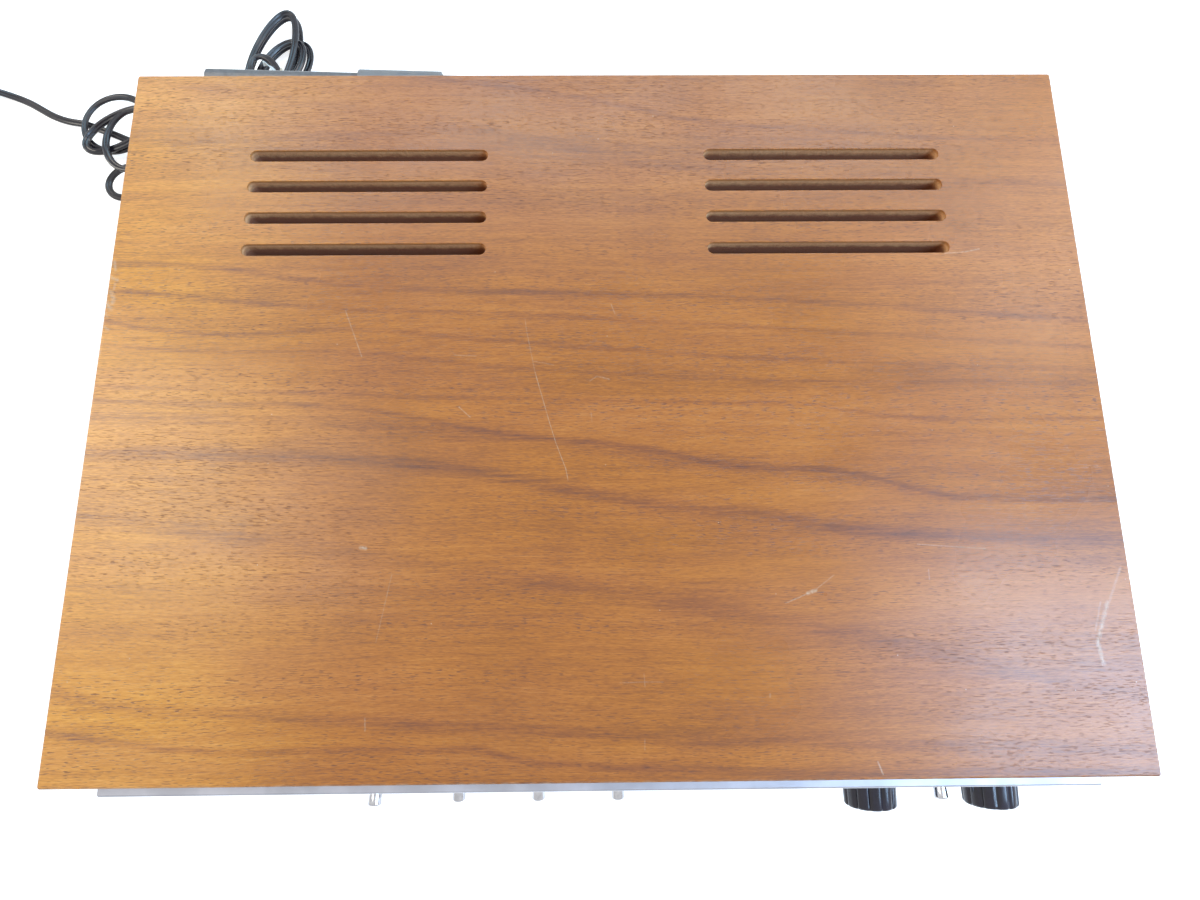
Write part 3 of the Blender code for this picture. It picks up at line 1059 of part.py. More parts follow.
def make_aerial():
    """The aerial arm on its pivot, with the ferrite rod and its coil. All turn about the pivot."""
    pivot = (AERIAL_PIVOT_X, REAR_Y + AERIAL_PIVOT_REACH, AERIAL_ROD_Z)
    turn = (0.0, 0.0, AERIAL_SWING)
    low = -AERIAL_ROD_RADIUS - AERIAL_CRADLE
    top = low + AERIAL_ARM_THICKNESS
    half = AERIAL_ARM_HALF_WIDTH
    outline = rounded((-ROD_FAR + AERIAL_CRADLE, -half), (AERIAL_ARM_END, half), half / 2)
    hole = circle((0.0, 0.0), AERIAL_PIN_RADIUS + FIT, CONTROL_SIDES)
    arm_data = plate(outline, [hole], AERIAL_ARM_THICKNESS)
    bmesh.ops.translate(arm_data, verts=arm_data.verts, vec=(0.0, 0.0, low))
    arm = solid("aerial_arm", arm_data, BLACK_MATTE, pivot, turn)
    blocks = bmesh.new()
    for start in (AERIAL_ROD_NEAR + AERIAL_CRADLE, ROD_FAR - 3 * AERIAL_CRADLE):
        add_box(blocks, (-start - AERIAL_CRADLE, -half, top - AERIAL_ARM_THICKNESS / 2), (-start, half, 0.0))
    shape(arm, blocks, "UNION", pivot, turn)
    groove = bmesh.new()
    matrix = Matrix.Translation((-(AERIAL_ROD_NEAR + ROD_FAR) / 2, 0.0, 0.0)) @ Matrix.Rotation(QUARTER, 4, "Y")
    bmesh.ops.create_cone(groove, cap_ends=True, segments=AERIAL_SIDES, radius1=AERIAL_ROD_RADIUS + FIT,
                          radius2=AERIAL_ROD_RADIUS + FIT, depth=AERIAL_ROD_LENGTH + 2 * OVERRUN, matrix=matrix)
    shape(arm, groove, "DIFFERENCE", pivot, turn)

    along = Matrix.Rotation(-QUARTER, 4, "Y")
    rod = turned([(0.0, AERIAL_ROD_NEAR), (AERIAL_ROD_RADIUS, AERIAL_ROD_NEAR), (AERIAL_ROD_RADIUS, ROD_FAR),
                  (0.0, ROD_FAR)], AERIAL_SIDES)
    bmesh.ops.transform(rod, matrix=along, verts=rod.verts)
    solid("aerial_rod", rod, FERRITE, pivot, turn, smooth=True)
    bore = AERIAL_ROD_RADIUS + FIT
    coil = turned([(bore, AERIAL_COIL_NEAR), (AERIAL_COIL_RADIUS, AERIAL_COIL_NEAR),
                   (AERIAL_COIL_RADIUS, AERIAL_COIL_NEAR + AERIAL_COIL_LENGTH),
                   (bore, AERIAL_COIL_NEAR + AERIAL_COIL_LENGTH)], AERIAL_SIDES)
    bmesh.ops.transform(coil, matrix=along, verts=coil.verts)
    solid("aerial_coil", coil, CREAM, pivot, turn, smooth=True)


def make_terminals(name, x, z, count):
    """A strip of screw terminals with ribs between them, on the outside of the rear panel."""
    half = TERMINAL_PITCH * count / 2
    rise = TERMINAL_BLOCK_HEIGHT / 2
    back = PANEL_Y + FIT
    face = back + TERMINAL_BLOCK_DEPTH
    strip = solid(name, boxes(((x - half, back, z - rise), (x + half, face, z + rise))), BLACK_MATTE)
    fittings = bmesh.new()
    depth = TERMINAL_SCREW_REACH + TERMINAL_BLOCK_DEPTH / 2
    for index in range(count):
        middle = x - half + TERMINAL_PITCH * (index + 1 / 2)
        matrix = Matrix.Translation((middle, face + TERMINAL_SCREW_REACH - depth / 2, z))
        bmesh.ops.create_cone(fittings, cap_ends=True, segments=SMALL_SIDES, radius1=TERMINAL_SCREW_RADIUS,
                              radius2=TERMINAL_SCREW_RADIUS, depth=depth,
                              matrix=matrix @ Matrix.Rotation(QUARTER, 4, "X"))
    for index in range(1, count):
        edge = x - half + TERMINAL_PITCH * index
        add_box(fittings, (edge - TERMINAL_RIB / 2, back + TERMINAL_BLOCK_DEPTH / 2, z - rise + TERMINAL_RIB),
                (edge + TERMINAL_RIB / 2, face + TERMINAL_RIB_REACH, z + rise - TERMINAL_RIB))
    shape(strip, fittings, "UNION")


def make_rear_fittings():
    """Phono sockets, mains outlets, both terminal strips and the cord gland."""
    inner = PANEL_Y - SHEET - FIT
    low = (PHONO_X - PHONO_EDGE, PHONO_Z - PHONO_EDGE)
    high = (PHONO_X + PHONO_PITCH_X * (PHONO_COLUMNS - 1) + PHONO_EDGE,
            PHONO_Z + PHONO_PITCH_Z * (PHONO_ROWS - 1) + PHONO_EDGE)
    sockets = solid("phono_jacks", plate(rectangle(low, high), (), PHONO_PLATE), PHENOLIC,
                    (0.0, inner, 0.0), (QUARTER, 0.0, 0.0))
    sleeves = bmesh.new()
    depth = PHONO_PLATE / 2 + FIT + SHEET + PHONO_REACH
    for x, z in phono_places():
        matrix = Matrix.Translation((x, inner - PHONO_PLATE / 2 + depth / 2, z)) @ Matrix.Rotation(QUARTER, 4, "X")
        bmesh.ops.create_cone(sleeves, cap_ends=True, segments=SMALL_SIDES, radius1=PHONO_RADIUS, radius2=PHONO_RADIUS,
                              depth=depth, matrix=matrix)
    shape(sockets, sleeves, "UNION")
    bores = bmesh.new()
    depth = PHONO_BORE_DEPTH + OVERRUN
    for x, z in phono_places():
        place = Matrix.Translation((x, PANEL_Y + PHONO_REACH - PHONO_BORE_DEPTH + depth / 2, z))
        bmesh.ops.create_cone(bores, cap_ends=True, segments=SMALL_SIDES, radius1=PHONO_BORE_RADIUS,
                              radius2=PHONO_BORE_RADIUS, depth=depth, matrix=place @ Matrix.Rotation(QUARTER, 4, "X"))
    shape(sockets, bores)

    slots = []
    for side in (-1, 1):
        middle = side * OUTLET_PAIR_PITCH / 2
        for blade in (-1, 1):
            x = middle + blade * OUTLET_BLADE_GAP / 2
            slots.append(rectangle((x - OUTLET_SLOT / 2, -OUTLET_BLADE / 2), (x + OUTLET_SLOT / 2, OUTLET_BLADE / 2)))
    outline = rounded((-OUTLET_WIDTH / 2, -OUTLET_HEIGHT / 2), (OUTLET_WIDTH / 2, OUTLET_HEIGHT / 2), WINDOW_CORNER)
    place = (OUTLET_X, PANEL_Y + FIT + OUTLET_DEPTH, OUTLET_Z)
    solid("ac_outlets", plate(outline, slots, OUTLET_DEPTH), BLACK_MATTE, place, (QUARTER, 0.0, 0.0))

    make_terminals("speaker_terminals", SPEAKER_TERMINALS_X, SPEAKER_TERMINALS_Z, TERMINAL_COUNT)
    make_terminals("antenna_terminals", AERIAL_TERMINALS_X, AERIAL_TERMINALS_Z, AERIAL_TERMINAL_COUNT)

    groove = GLAND_HOLE_RADIUS - FIT
    inside = -SHEET - FIT
    profile = [(0.0, inside - GLAND_FLANGE), (GLAND_FLANGE_RADIUS, inside - GLAND_FLANGE),
               (GLAND_FLANGE_RADIUS, inside), (groove, inside), (groove, FIT), (GLAND_FLANGE_RADIUS, FIT),
               (GLAND_FLANGE_RADIUS, FIT + GLAND_FLANGE), (groove, FIT + 2 * GLAND_FLANGE),
               (GLAND_TIP_RADIUS, GLAND_NOSE_LENGTH), (0.0, GLAND_NOSE_LENGTH)]
    place = (GLAND_X, PANEL_Y, GLAND_Z)
    solid("mains_gland", turned(profile, PANEL_SIDES), BLACK_MATTE, place, (-QUARTER, 0.0, 0.0), smooth=True)


def ease(share):
    """Smooth step from 0 to 1, level at both ends."""
    share = min(1.0, max(0.0, share))
    return share * share * (3 - 2 * share)


def loop_point(loop, middle, angle):
    """A point on one loop: an ellipse that leans, and may narrow towards its far end."""
    half_width, half_length, lean, taper = loop[:4]
    across = half_width * math.cos(angle) * (1 - taper * math.sin(angle))
    along = half_length * math.sin(angle)
    return (middle[0] + across * math.cos(lean) + along * math.sin(lean),
            middle[1] - across * math.sin(lean) + along * math.cos(lean))


def wound(loops, middles, start, shares, lift):
    """Points of one unbroken cord that runs through every loop, easing from each into the next."""
    first, last, blend, climb = shares
    begin = round(first * LOOP_POINTS)
    end = round((len(loops) - 1 + last) * LOOP_POINTS)
    route = []
    for count in range(begin, end + 1):
        index = max(0, count // LOOP_POINTS)
        share = count / LOOP_POINTS - index
        after = min(index + 1, len(loops) - 1)
        shift = ease((share - 1 + blend) / blend)
        rise = ease((share - 1 + climb) / climb)
        loop = [a + (b - a) * shift for a, b in zip(loops[index], loops[after])]
        middle = [a + (b - a) * shift for a, b in zip(middles[index], middles[after])]
        level = loops[index][4] + (loops[after][4] - loops[index][4]) * rise
        place = loop_point(loop, middle, start + 2 * math.pi * share)
        route.append((*place, CORD_DIAMETER / 2 + TABLE_GAP + lift + LEVEL * level))
    return route


def hank_middles():
    """Each loop of the hank is placed so that it passes through the point that the tie holds."""
    middles = []
    for loop in HANK_LOOPS:
        held = loop_point(loop, (0.0, 0.0), HANK_HOLD)
        middles.append((HANK_HUB[0] - held[0], HANK_HUB[1] - held[1]))
    return middles


def eased_route(points):
    """Evenly spaced points on a smooth curve through hand chosen ones."""
    points = [np.array(point) for point in points]
    ends = [2 * points[0] - points[1]] + points + [2 * points[-1] - points[-2]]
    steps = np.linspace(0.0, 1.0, LOOP_POINTS, endpoint=False)[:, None]
    dense = []
    for before, here, after, beyond in zip(ends, ends[1:], ends[2:], ends[3:]):
        leave, arrive = (after - before) / 2, (beyond - here) / 2
        dense.append(here * (2 * steps**3 - 3 * steps**2 + 1) + leave * (steps**3 - 2 * steps**2 + steps)
                     + after * (3 * steps**2 - 2 * steps**3) + arrive * (steps**3 - steps**2))
    dense = np.vstack(dense + [points[-1][None, :]])
    dense[:, 2] = np.maximum(dense[:, 2], CORD_DIAMETER / 2 + TABLE_GAP)
    travel = np.concatenate([[0.0], np.cumsum(np.linalg.norm(np.diff(dense, axis=0), axis=1))])
    count = max(2, round(travel[-1] / CORD_STEP)) + 1
    marks = np.linspace(0.0, travel[-1], count)
    return [tuple(np.interp(mark, travel, dense[:, axis]) for axis in range(3)) for mark in marks]


def beyond(tip, inner, reach):
    """A point past the end of a route, straight on."""
    tip, inner = np.array(tip), np.array(inner)
    step = (tip - inner) / np.linalg.norm(tip - inner)
    return tuple(tip + step * reach)


def cord(name, route, sides_step):
    """A round cord along a route of straight segments."""
    curve = bpy.data.curves.new(name, "CURVE")
    curve.dimensions = "3D"
    curve.bevel_depth = CORD_DIAMETER / 2
    curve.bevel_resolution = sides_step
    curve.use_fill_caps = True
    spline = curve.splines.new("POLY")
    spline.points.add(len(route) - 1)
    for point, place in zip(spline.points, route):
        point.co = (*place, 1.0)
    spline.use_smooth = True
    curve.materials.append(CORD_BLACK)
    made = bpy.data.objects.new(name, curve)
    bpy.context.collection.objects.link(made)
    length = sum(math.dist(a, b) for a, b in zip(route, route[1:]))
    print(f"{name}: {length * 1000:.0f} mm in {len(route)} points")
    return made


def report_gap(name, route):
    """Prints the least gap between strands of one cord, measured on points along it."""
    points = np.array(route)
    shares = np.linspace(0.0, 1.0, 4, endpoint=False)
    fine = np.concatenate([points[:-1] + (points[1:] - points[:-1]) * share for share in shares[:, None, None]])
    order = np.concatenate([np.arange(len(points) - 1) + share for share in shares])
    fine, order = fine[np.argsort(order)], np.sort(order)
    travel = np.concatenate([[0.0], np.cumsum(np.linalg.norm(np.diff(fine, axis=0), axis=1))])
    apart = np.linalg.norm(fine[:, None] - fine[None], axis=2)
    apart[np.abs(travel[:, None] - travel[None]) < CORD_DIAMETER * math.pi] = np.inf
    print(f"{name}: least gap to itself {(apart.min() - CORD_DIAMETER) * 1000:.2f} mm")


def make_lead():
    """The mains lead, from the gland to the plug: a free stretch, the hank, loose loops and a free end."""
    hank_shares = (HANK_FIRST_SHARE, HANK_LAST_SHARE, HANK_BLEND_SHARE, HANK_CLIMB_SHARE)
    hank = wound(HANK_LOOPS, hank_middles(), HANK_START, hank_shares, HANK_LIFT)
    hank = [beyond(hank[0], hank[1], CORD_DIAMETER)] + hank + [beyond(hank[-1], hank[-2], CORD_DIAMETER)]
    cord("lead_hank", hank, 1)
    report_gap("lead_hank", hank)

    exit_point = (GLAND_X, PANEL_Y + GLAND_NOSE_LENGTH + FIT, GLAND_Z)
    straight = (GLAND_X, exit_point[1] + CORD_DIAMETER, GLAND_Z)
    joint = beyond(hank[0], hank[1], FIT)
    before = beyond(hank[0], hank[1], FIT + CORD_DIAMETER)
    cord("lead_near", [exit_point] + eased_route([straight] + NEAR_ROUTE + [before]) + [joint], 2)

    loose_shares = (LOOSE_FIRST_SHARE, LOOSE_LAST_SHARE, LOOSE_BLEND_SHARE, LOOSE_CLIMB_SHARE)
    loose = wound(LOOSE_LOOPS, LOOSE_MIDDLES, LOOSE_START, loose_shares, 0.0)
    joint = beyond(hank[-1], hank[-2], FIT)
    after = beyond(hank[-1], hank[-2], FIT + CORD_DIAMETER)
    link = [joint] + eased_route([after] + LINK_ROUTE + [loose[0]])[:-1]
    loose = link + loose + [beyond(loose[-1], loose[-2], CORD_DIAMETER)]
    cord("lead_loops", loose, 1)
    report_gap("lead_loops", loose)

    rear = (PLUG_REAR[0], PLUG_REAR[1], PLUG_HEIGHT / 2 + TABLE_GAP)
    back = (-math.cos(PLUG_TURN), -math.sin(PLUG_TURN))
    tip = (rear[0] + back[0] * FIT, rear[1] + back[1] * FIT, rear[2])
    before = (tip[0] + back[0] * CORD_DIAMETER, tip[1] + back[1] * CORD_DIAMETER, rear[2])
    joint = beyond(loose[-1], loose[-2], FIT)
    after = beyond(loose[-1], loose[-2], FIT + CORD_DIAMETER)
    cord("lead_far", [joint] + eased_route([after] + FAR_ROUTE + [before]) + [tip], 2)


def make_plug():
    """A flat plug with two blades, lying on the table."""
    rear, front = PLUG_WIDTH / 2 * PLUG_REAR_SHARE, PLUG_WIDTH / 2
    outline = [(0.0, -rear), (PLUG_LENGTH / 2, -front), (PLUG_LENGTH, -front), (PLUG_LENGTH, front),
               (PLUG_LENGTH / 2, front), (0.0, rear)]
    body = plate(outline, (), PLUG_HEIGHT)
    rims = [edge for edge in body.edges if abs(edge.verts[0].co.z - edge.verts[1].co.z) < FIT]
    outer = [edge for edge in rims if len({round(v.co.z, 6) for v in edge.verts}) == 1 and edge.is_manifold
             and edge.calc_face_angle() > QUARTER / 2]
    bmesh.ops.bevel(body, geom=outer, offset=PLUG_BEVEL, segments=2, profile=ROUND_SHARE, affect="EDGES")
    place = (PLUG_REAR[0], PLUG_REAR[1], TABLE_GAP)
    turn = (0.0, 0.0, PLUG_TURN)
    plug = solid("mains_plug", body, BLACK_MATTE, place, turn, smooth=True)
    blades = bmesh.new()
    for side in (-1, 1):
        y = side * PIN_GAP / 2
        add_box(blades, (PLUG_LENGTH - PLUG_BEVEL, y - PIN_THICKNESS / 2, (PLUG_HEIGHT - PIN_WIDTH) / 2),
                (PLUG_LENGTH + PIN_LENGTH, y + PIN_THICKNESS / 2, (PLUG_HEIGHT + PIN_WIDTH) / 2))
    shape(plug, blades, "UNION", place, turn)


def make_tie():
    """The paper tie round the hank: a strap with two twisted ends that stand up."""
    low = FIT
    top = HANK_LIFT + TABLE_GAP + CORD_DIAMETER + LEVEL * (len(HANK_LOOPS) - 1) + FIT
    half = TIE_HALF_WIDTH + TIE_STRAP
    outline = [(-half, low), (half, low), (half, top), (TIE_STRAP, top + TIE_STRAP),
               (TIE_EAR, top + TIE_EAR_RISE / 2), (TIE_EAR, top + TIE_EAR_RISE), (0.0, top + 2 * TIE_STRAP),
               (-TIE_EAR / 2, top + TIE_EAR_RISE + TIE_STRAP), (-TIE_EAR, top + TIE_EAR_RISE), (-half, top)]
    hole = [(-TIE_HALF_WIDTH, low + TIE_STRAP), (TIE_HALF_WIDTH, low + TIE_STRAP),
            (TIE_HALF_WIDTH, top - FIT), (0.0, top), (-TIE_HALF_WIDTH, top - FIT)]
    strap = plate(outline, [hole], TIE_LENGTH)
    bmesh.ops.translate(strap, verts=strap.verts, vec=(0.0, 0.0, -TIE_LENGTH / 2))
    solid("hank_tie", strap, PAPER, (*HANK_HUB, 0.0), (QUARTER, 0.0, TIE_TURN))


make_top_board()
make_side_board("case_left_side", -1)
make_side_board("case_right_side", 1)
make_bottom_board()
make_feet()
make_fascia()
make_dial()
make_knobs_and_controls()
make_levers()
make_jack()
make_chassis()
make_tuner()
make_variable_capacitor()
make_power_supply()
make_main_board()
make_rear_panel()
make_aerial()
make_rear_fittings()
make_lead()
make_plug()
make_tie()
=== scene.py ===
# %% [markdown]
# # A stereo receiver in a walnut case, dressed for a photograph
#
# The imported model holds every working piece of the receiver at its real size. This lesson adds what the eye looks
# for: oiled walnut, brushed and polished metal, black fluted knobs, printed dial marks and a twin mains lead.
# Nothing here moves a piece of the model. A new shape either stands in for one of its nodes or lies on it.

# %% Load the model
import json
from math import acos, asin, cos, log, pi, radians, sin

import bmesh
import bpy
import numpy as np
from mathutils import Matrix, Vector

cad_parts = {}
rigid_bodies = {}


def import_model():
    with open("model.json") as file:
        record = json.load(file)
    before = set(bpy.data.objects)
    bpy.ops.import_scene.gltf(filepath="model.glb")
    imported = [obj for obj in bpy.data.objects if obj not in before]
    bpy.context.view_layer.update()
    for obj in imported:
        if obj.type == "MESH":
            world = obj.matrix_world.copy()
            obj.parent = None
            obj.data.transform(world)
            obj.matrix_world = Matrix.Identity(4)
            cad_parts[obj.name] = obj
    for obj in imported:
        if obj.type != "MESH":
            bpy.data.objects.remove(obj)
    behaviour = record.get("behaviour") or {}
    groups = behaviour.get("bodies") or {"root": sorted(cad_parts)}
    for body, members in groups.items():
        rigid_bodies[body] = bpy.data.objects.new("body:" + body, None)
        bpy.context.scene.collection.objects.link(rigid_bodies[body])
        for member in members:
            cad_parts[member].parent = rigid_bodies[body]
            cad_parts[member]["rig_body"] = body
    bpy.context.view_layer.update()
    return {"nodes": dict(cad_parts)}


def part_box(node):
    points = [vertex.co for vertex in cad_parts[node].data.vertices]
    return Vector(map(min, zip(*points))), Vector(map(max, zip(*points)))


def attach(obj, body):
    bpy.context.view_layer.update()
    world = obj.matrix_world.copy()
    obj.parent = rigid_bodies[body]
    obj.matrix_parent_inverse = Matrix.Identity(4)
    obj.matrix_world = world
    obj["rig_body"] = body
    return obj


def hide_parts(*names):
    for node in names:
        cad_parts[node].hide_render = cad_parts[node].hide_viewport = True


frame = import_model()
NODES = frame["nodes"]
SCENE = bpy.context.scene

# %% [markdown]
# ## The camera
# The photograph looks almost straight down, from less than half a metre, through a wide lens. Its place was worked
# out from the corners of the case and the ends of the vent slots, so the same numbers stand here as real sizes.

# %% Camera
LENS_MM = 21.0
SENSOR_MM = 36.0
CAMERA_PLACE = (-0.0030, -0.0851, 0.4401)
CAMERA_DEGREES = (11.701, -0.459, -0.529)
CAMERA_NEAR = 0.01


def show(name, data):
    """A new object in the scene, at the origin."""
    piece = bpy.data.objects.new(name, data)
    SCENE.collection.objects.link(piece)
    return piece


camera = show("camera", bpy.data.cameras.new("camera"))
camera.data.lens, camera.data.sensor_width, camera.data.clip_start = LENS_MM, SENSOR_MM, CAMERA_NEAR
camera.location = CAMERA_PLACE
camera.rotation_euler = np.radians(CAMERA_DEGREES)
SCENE.camera = camera
SCENE.view_settings.view_transform = "Standard"

# %% [markdown]
# ## Surfaces from numbers
# Nearly every new shape is a skin over rings of points. A ring is one row of an array, so a whole knob or cord is
# one array of shape (rings, points round, 3), worked out without a loop over its points. Two rings in a row are
# joined by four-sided faces, and a fan of triangles round a middle point closes each end.

# %% Skins over rings
WELD = 0.00001
SHARP = radians(35.0)


def ring_faces(rings, around, loop):
    """Four-sided faces between each ring and the next, as an array of point numbers."""
    rows = np.arange(rings if loop else rings - 1)[:, None]
    column = np.arange(around)[None, :]
    after = (column + 1) % around
    below, above = rows * around, (rows + 1) % rings * around
    return np.stack([below + column, below + after, above + after, above + column], axis=-1).reshape(-1, 4)


def solid_volume(points, faces):
    """Signed volume: the sum over fans of triangles of a . (b x c) / 6. It is positive when faces point outwards."""
    total = 0.0
    for face in faces:
        corners = points[list(face)]
        total += (corners[0] * np.cross(corners[1:-1], corners[2:])).sum()
    return total / 6


def closed(rings, loop=False):
    """Points and faces over rings. A loop joins the last ring to the first, and otherwise both ends are capped."""
    rings = np.array(rings)
    count, around = rings.shape[:2]
    points = rings.reshape(-1, 3)
    faces = [tuple(face) for face in ring_faces(count, around, loop)]
    if not loop:
        last = (count - 1) * around
        around_ring = [(a, (a + 1) % around) for a in range(around)]
        faces += [(len(points), b, a) for a, b in around_ring]
        faces += [(len(points) + 1, last + a, last + b) for a, b in around_ring]
        points = np.vstack([points, rings[0].mean(axis=0), rings[-1].mean(axis=0)])
    return points, faces


def turned(profile, sides):
    """Rings of a turned piece round local Z: each (radius, height) of the profile becomes one circle."""
    radius, height = np.array(profile, float).T
    angle = np.linspace(0.0, 2 * pi, sides, endpoint=False)
    return np.stack([radius[:, None] * np.cos(angle), radius[:, None] * np.sin(angle),
                     np.repeat(height[:, None], sides, axis=1)], axis=-1)


def at(place, *turns):
    """A place, and then turns about local axes, as one matrix."""
    matrix = Matrix.Translation(place)
    for angle, axis in turns:
        matrix = matrix @ Matrix.Rotation(angle, 4, axis)
    return matrix


def carried(points, matrix):
    """Points or rings moved and turned by a matrix."""
    matrix = np.array(matrix)
    return points @ matrix[:3, :3].T + matrix[:3, 3]


def block(low, high, matrix=None):
    """Points and faces of a box between two corners, carried by a matrix where one is given."""
    grid = np.array([(x, y, z) for z in (low[2], high[2]) for y in (low[1], high[1]) for x in (low[0], high[0])])
    faces = [(0, 2, 3, 1), (4, 5, 7, 6), (0, 1, 5, 4), (2, 6, 7, 3), (0, 4, 6, 2), (1, 3, 7, 5)]
    return grid if matrix is None else carried(grid, matrix), faces


def joined(parts):
    """Several (points, faces) as one."""
    points, faces, start = [], [], 0
    for part_points, part_faces in parts:
        points.append(part_points)
        faces += [tuple(corner + start for corner in face) for face in part_faces]
        start += len(part_points)
    return np.vstack(points), faces


def dress(piece, body, slot, *nodes):
    """Lets a piece move with a body, and lets it stand in for nodes of the model. The slot is not used."""
    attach(piece, body)
    if nodes:
        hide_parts(*nodes)
    return piece


def solid(name, shape, material, body, slot, *nodes, smooth=True):
    """A dressed mesh at the origin from (points, faces). All its faces point outwards."""
    points, faces = shape
    faces = [tuple(int(corner) for corner in face) for face in faces]
    if solid_volume(points, faces) < 0:
        faces = [face[::-1] for face in faces]
    mesh = bpy.data.meshes.new(name)
    mesh.from_pydata(points.tolist(), [], faces)
    if smooth:
        mesh.shade_smooth()
        mesh.set_sharp_from_angle(angle=SHARP)
    mesh.materials.append(material)
    return dress(show(name, mesh), body, slot, *nodes)


# %% [markdown]
# ## The route of the mains lead
# The lead leaves its gland, drops to a tied hank behind the case, runs on to loose loops on the table, and ends in
# its plug. A coil's turns come from a formula: each loop is an ellipse that leans, and one turn eases into the next
# while it climbs a level. The free stretches pass smoothly through a few listed points.
# A loop is (half width, half length, lean in degrees, taper, level).

# %% Route of the mains lead
CORD_RADIUS = 0.0017
TABLE_GAP = 0.0001
FIT = 0.0003
LEVEL = 0.0039
TURN_POINTS = 24
FINE = 4 * TURN_POINTS
CORD_STEP = 0.0020
GLAND_TIP = (-0.1650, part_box("mains_gland")[1].y + FIT, 0.0400)
HANK_HUB = (-0.2168, 0.2652)
HANK_HOLD = radians(-30)
HANK_TURNS = dict(start=radians(-45), last=0.62, blend=0.30, climb=0.20, lift=0.0014)
HANK_LOOPS = np.array([(0.0085, 0.0150, -28.0, 0.0, 4), (0.0135, 0.0360, 13.0, 0.15, 3), (0.0120, 0.0225, 28.0, 0.0, 2),
                       (0.0155, 0.0380, 12.5, 0.15, 1), (0.0140, 0.0260, 28.0, 0.0, 0)])
LOOSE_TURNS = dict(start=radians(60), last=0.75, blend=0.40, climb=0.20, lift=0.0)
LOOSE_MIDDLES = np.array([(-0.3335, 0.2395), (-0.3275, 0.2320), (-0.3155, 0.2220), (-0.3195, 0.1945)])
LOOSE_LOOPS = np.array([(0.0220, 0.0215, 0.0, 0.0, 1), (0.0250, 0.0120, -33.0, 0.0, 2), (0.0175, 0.0230, 0.0, 0.0, 3),
                        (0.0135, 0.0115, -25.0, 0.0, 1)])
NEAR_ROUTE = [(-0.1650, 0.1840, 0.0398), (-0.1652, 0.1950, 0.0375), (-0.1685, 0.2080, 0.0305),
              (-0.1775, 0.2200, 0.0245), (-0.1890, 0.2285, 0.0212)]
LINK_ROUTE = [(-0.2500, 0.2400, 0.0024), (-0.2640, 0.2300, 0.0018), (-0.2790, 0.2290, 0.0018),
              (-0.2920, 0.2380, 0.0030), (-0.3020, 0.2490, 0.0050)]
FAR_ROUTE = [(-0.2960, 0.1960, 0.0018), (-0.2985, 0.2075, 0.0018), (-0.3150, 0.2230, 0.0018),
             (-0.3325, 0.2320, 0.0018), (-0.3479, 0.2383, 0.0018), (-0.3588, 0.2423, 0.0018),
             (-0.3674, 0.2439, 0.0018), (-0.3746, 0.2459, 0.0018), (-0.3821, 0.2491, 0.0018),
             (-0.3897, 0.2535, 0.0018), (-0.3973, 0.2580, 0.0018), (-0.4049, 0.2616, 0.0020),
             (-0.4123, 0.2640, 0.0032), (-0.4195, 0.2656, 0.0050)]
PLUG_HEIGHT = 0.0130
PLUG_REAR = (-0.4290, 0.2672, PLUG_HEIGHT / 2 + TABLE_GAP)


def ease(share):
    """Smooth step from 0 to 1: 3 s^2 - 2 s^3."""
    share = np.clip(share, 0.0, 1.0)
    return share * share * (3 - 2 * share)


def loop_place(loop, middle, angle):
    """Ellipse point: cos(angle) across and sin(angle) along, turned by the loop's lean."""
    half_width, half_length, lean, taper, _ = loop.T
    lean = np.radians(lean)
    across = half_width * np.cos(angle) * (1 - taper * np.sin(angle))
    along = half_length * np.sin(angle)
    return middle + np.stack([across * np.cos(lean) + along * np.sin(lean),
                              along * np.cos(lean) - across * np.sin(lean)], axis=-1)


def wound(loops, middles, start, last, blend, climb, lift):
    """One unbroken line through every loop. Near a turn's end its numbers ease into those of the next loop."""
    index, share = np.divmod(np.arange(round((len(loops) - 1 + last) * FINE) + 1), FINE)
    share = share / FINE
    after = np.minimum(index + 1, len(loops) - 1)
    shift = ease((share - 1 + blend) / blend)[:, None]
    loop, middle = (rows[index] + (rows[after] - rows[index]) * shift for rows in (loops, middles))
    level = loops[index, 4] + (loops[after, 4] - loops[index, 4]) * ease((share - 1 + climb) / climb)
    flat = loop_place(loop, middle, start + 2 * pi * share)
    return np.column_stack([flat, CORD_RADIUS + TABLE_GAP + lift + LEVEL * level])


def through(*points):
    """A smooth curve through points: a Hermite cubic between each pair, with the slope of their neighbours."""
    points = np.array(points)
    ends = np.vstack([2 * points[0] - points[1], points, 2 * points[-1] - points[-2]])
    t = np.linspace(0.0, 1.0, TURN_POINTS, endpoint=False)[None, :, None]
    before, here, after, beyond = (ends[i:len(ends) - 3 + i, None] for i in range(4))
    leave, arrive = (after - before) / 2, (beyond - here) / 2
    dense = (here * (2 * t**3 - 3 * t**2 + 1) + leave * (t**3 - 2 * t**2 + t)
             + after * (3 * t**2 - 2 * t**3) + arrive * (t**3 - t**2))
    dense = np.vstack([dense.reshape(-1, 3), points[-1:]])
    dense[:, 2] = np.maximum(dense[:, 2], CORD_RADIUS + TABLE_GAP)
    return dense


def spaced(line, step):
    """The same line with points about a step apart."""
    travel = np.concatenate([[0.0], np.cumsum(np.linalg.norm(np.diff(line, axis=0), axis=1))])
    marks = np.linspace(0.0, travel[-1], round(travel[-1] / step) + 1)
    return np.column_stack([np.interp(marks, travel, axis) for axis in line.T])


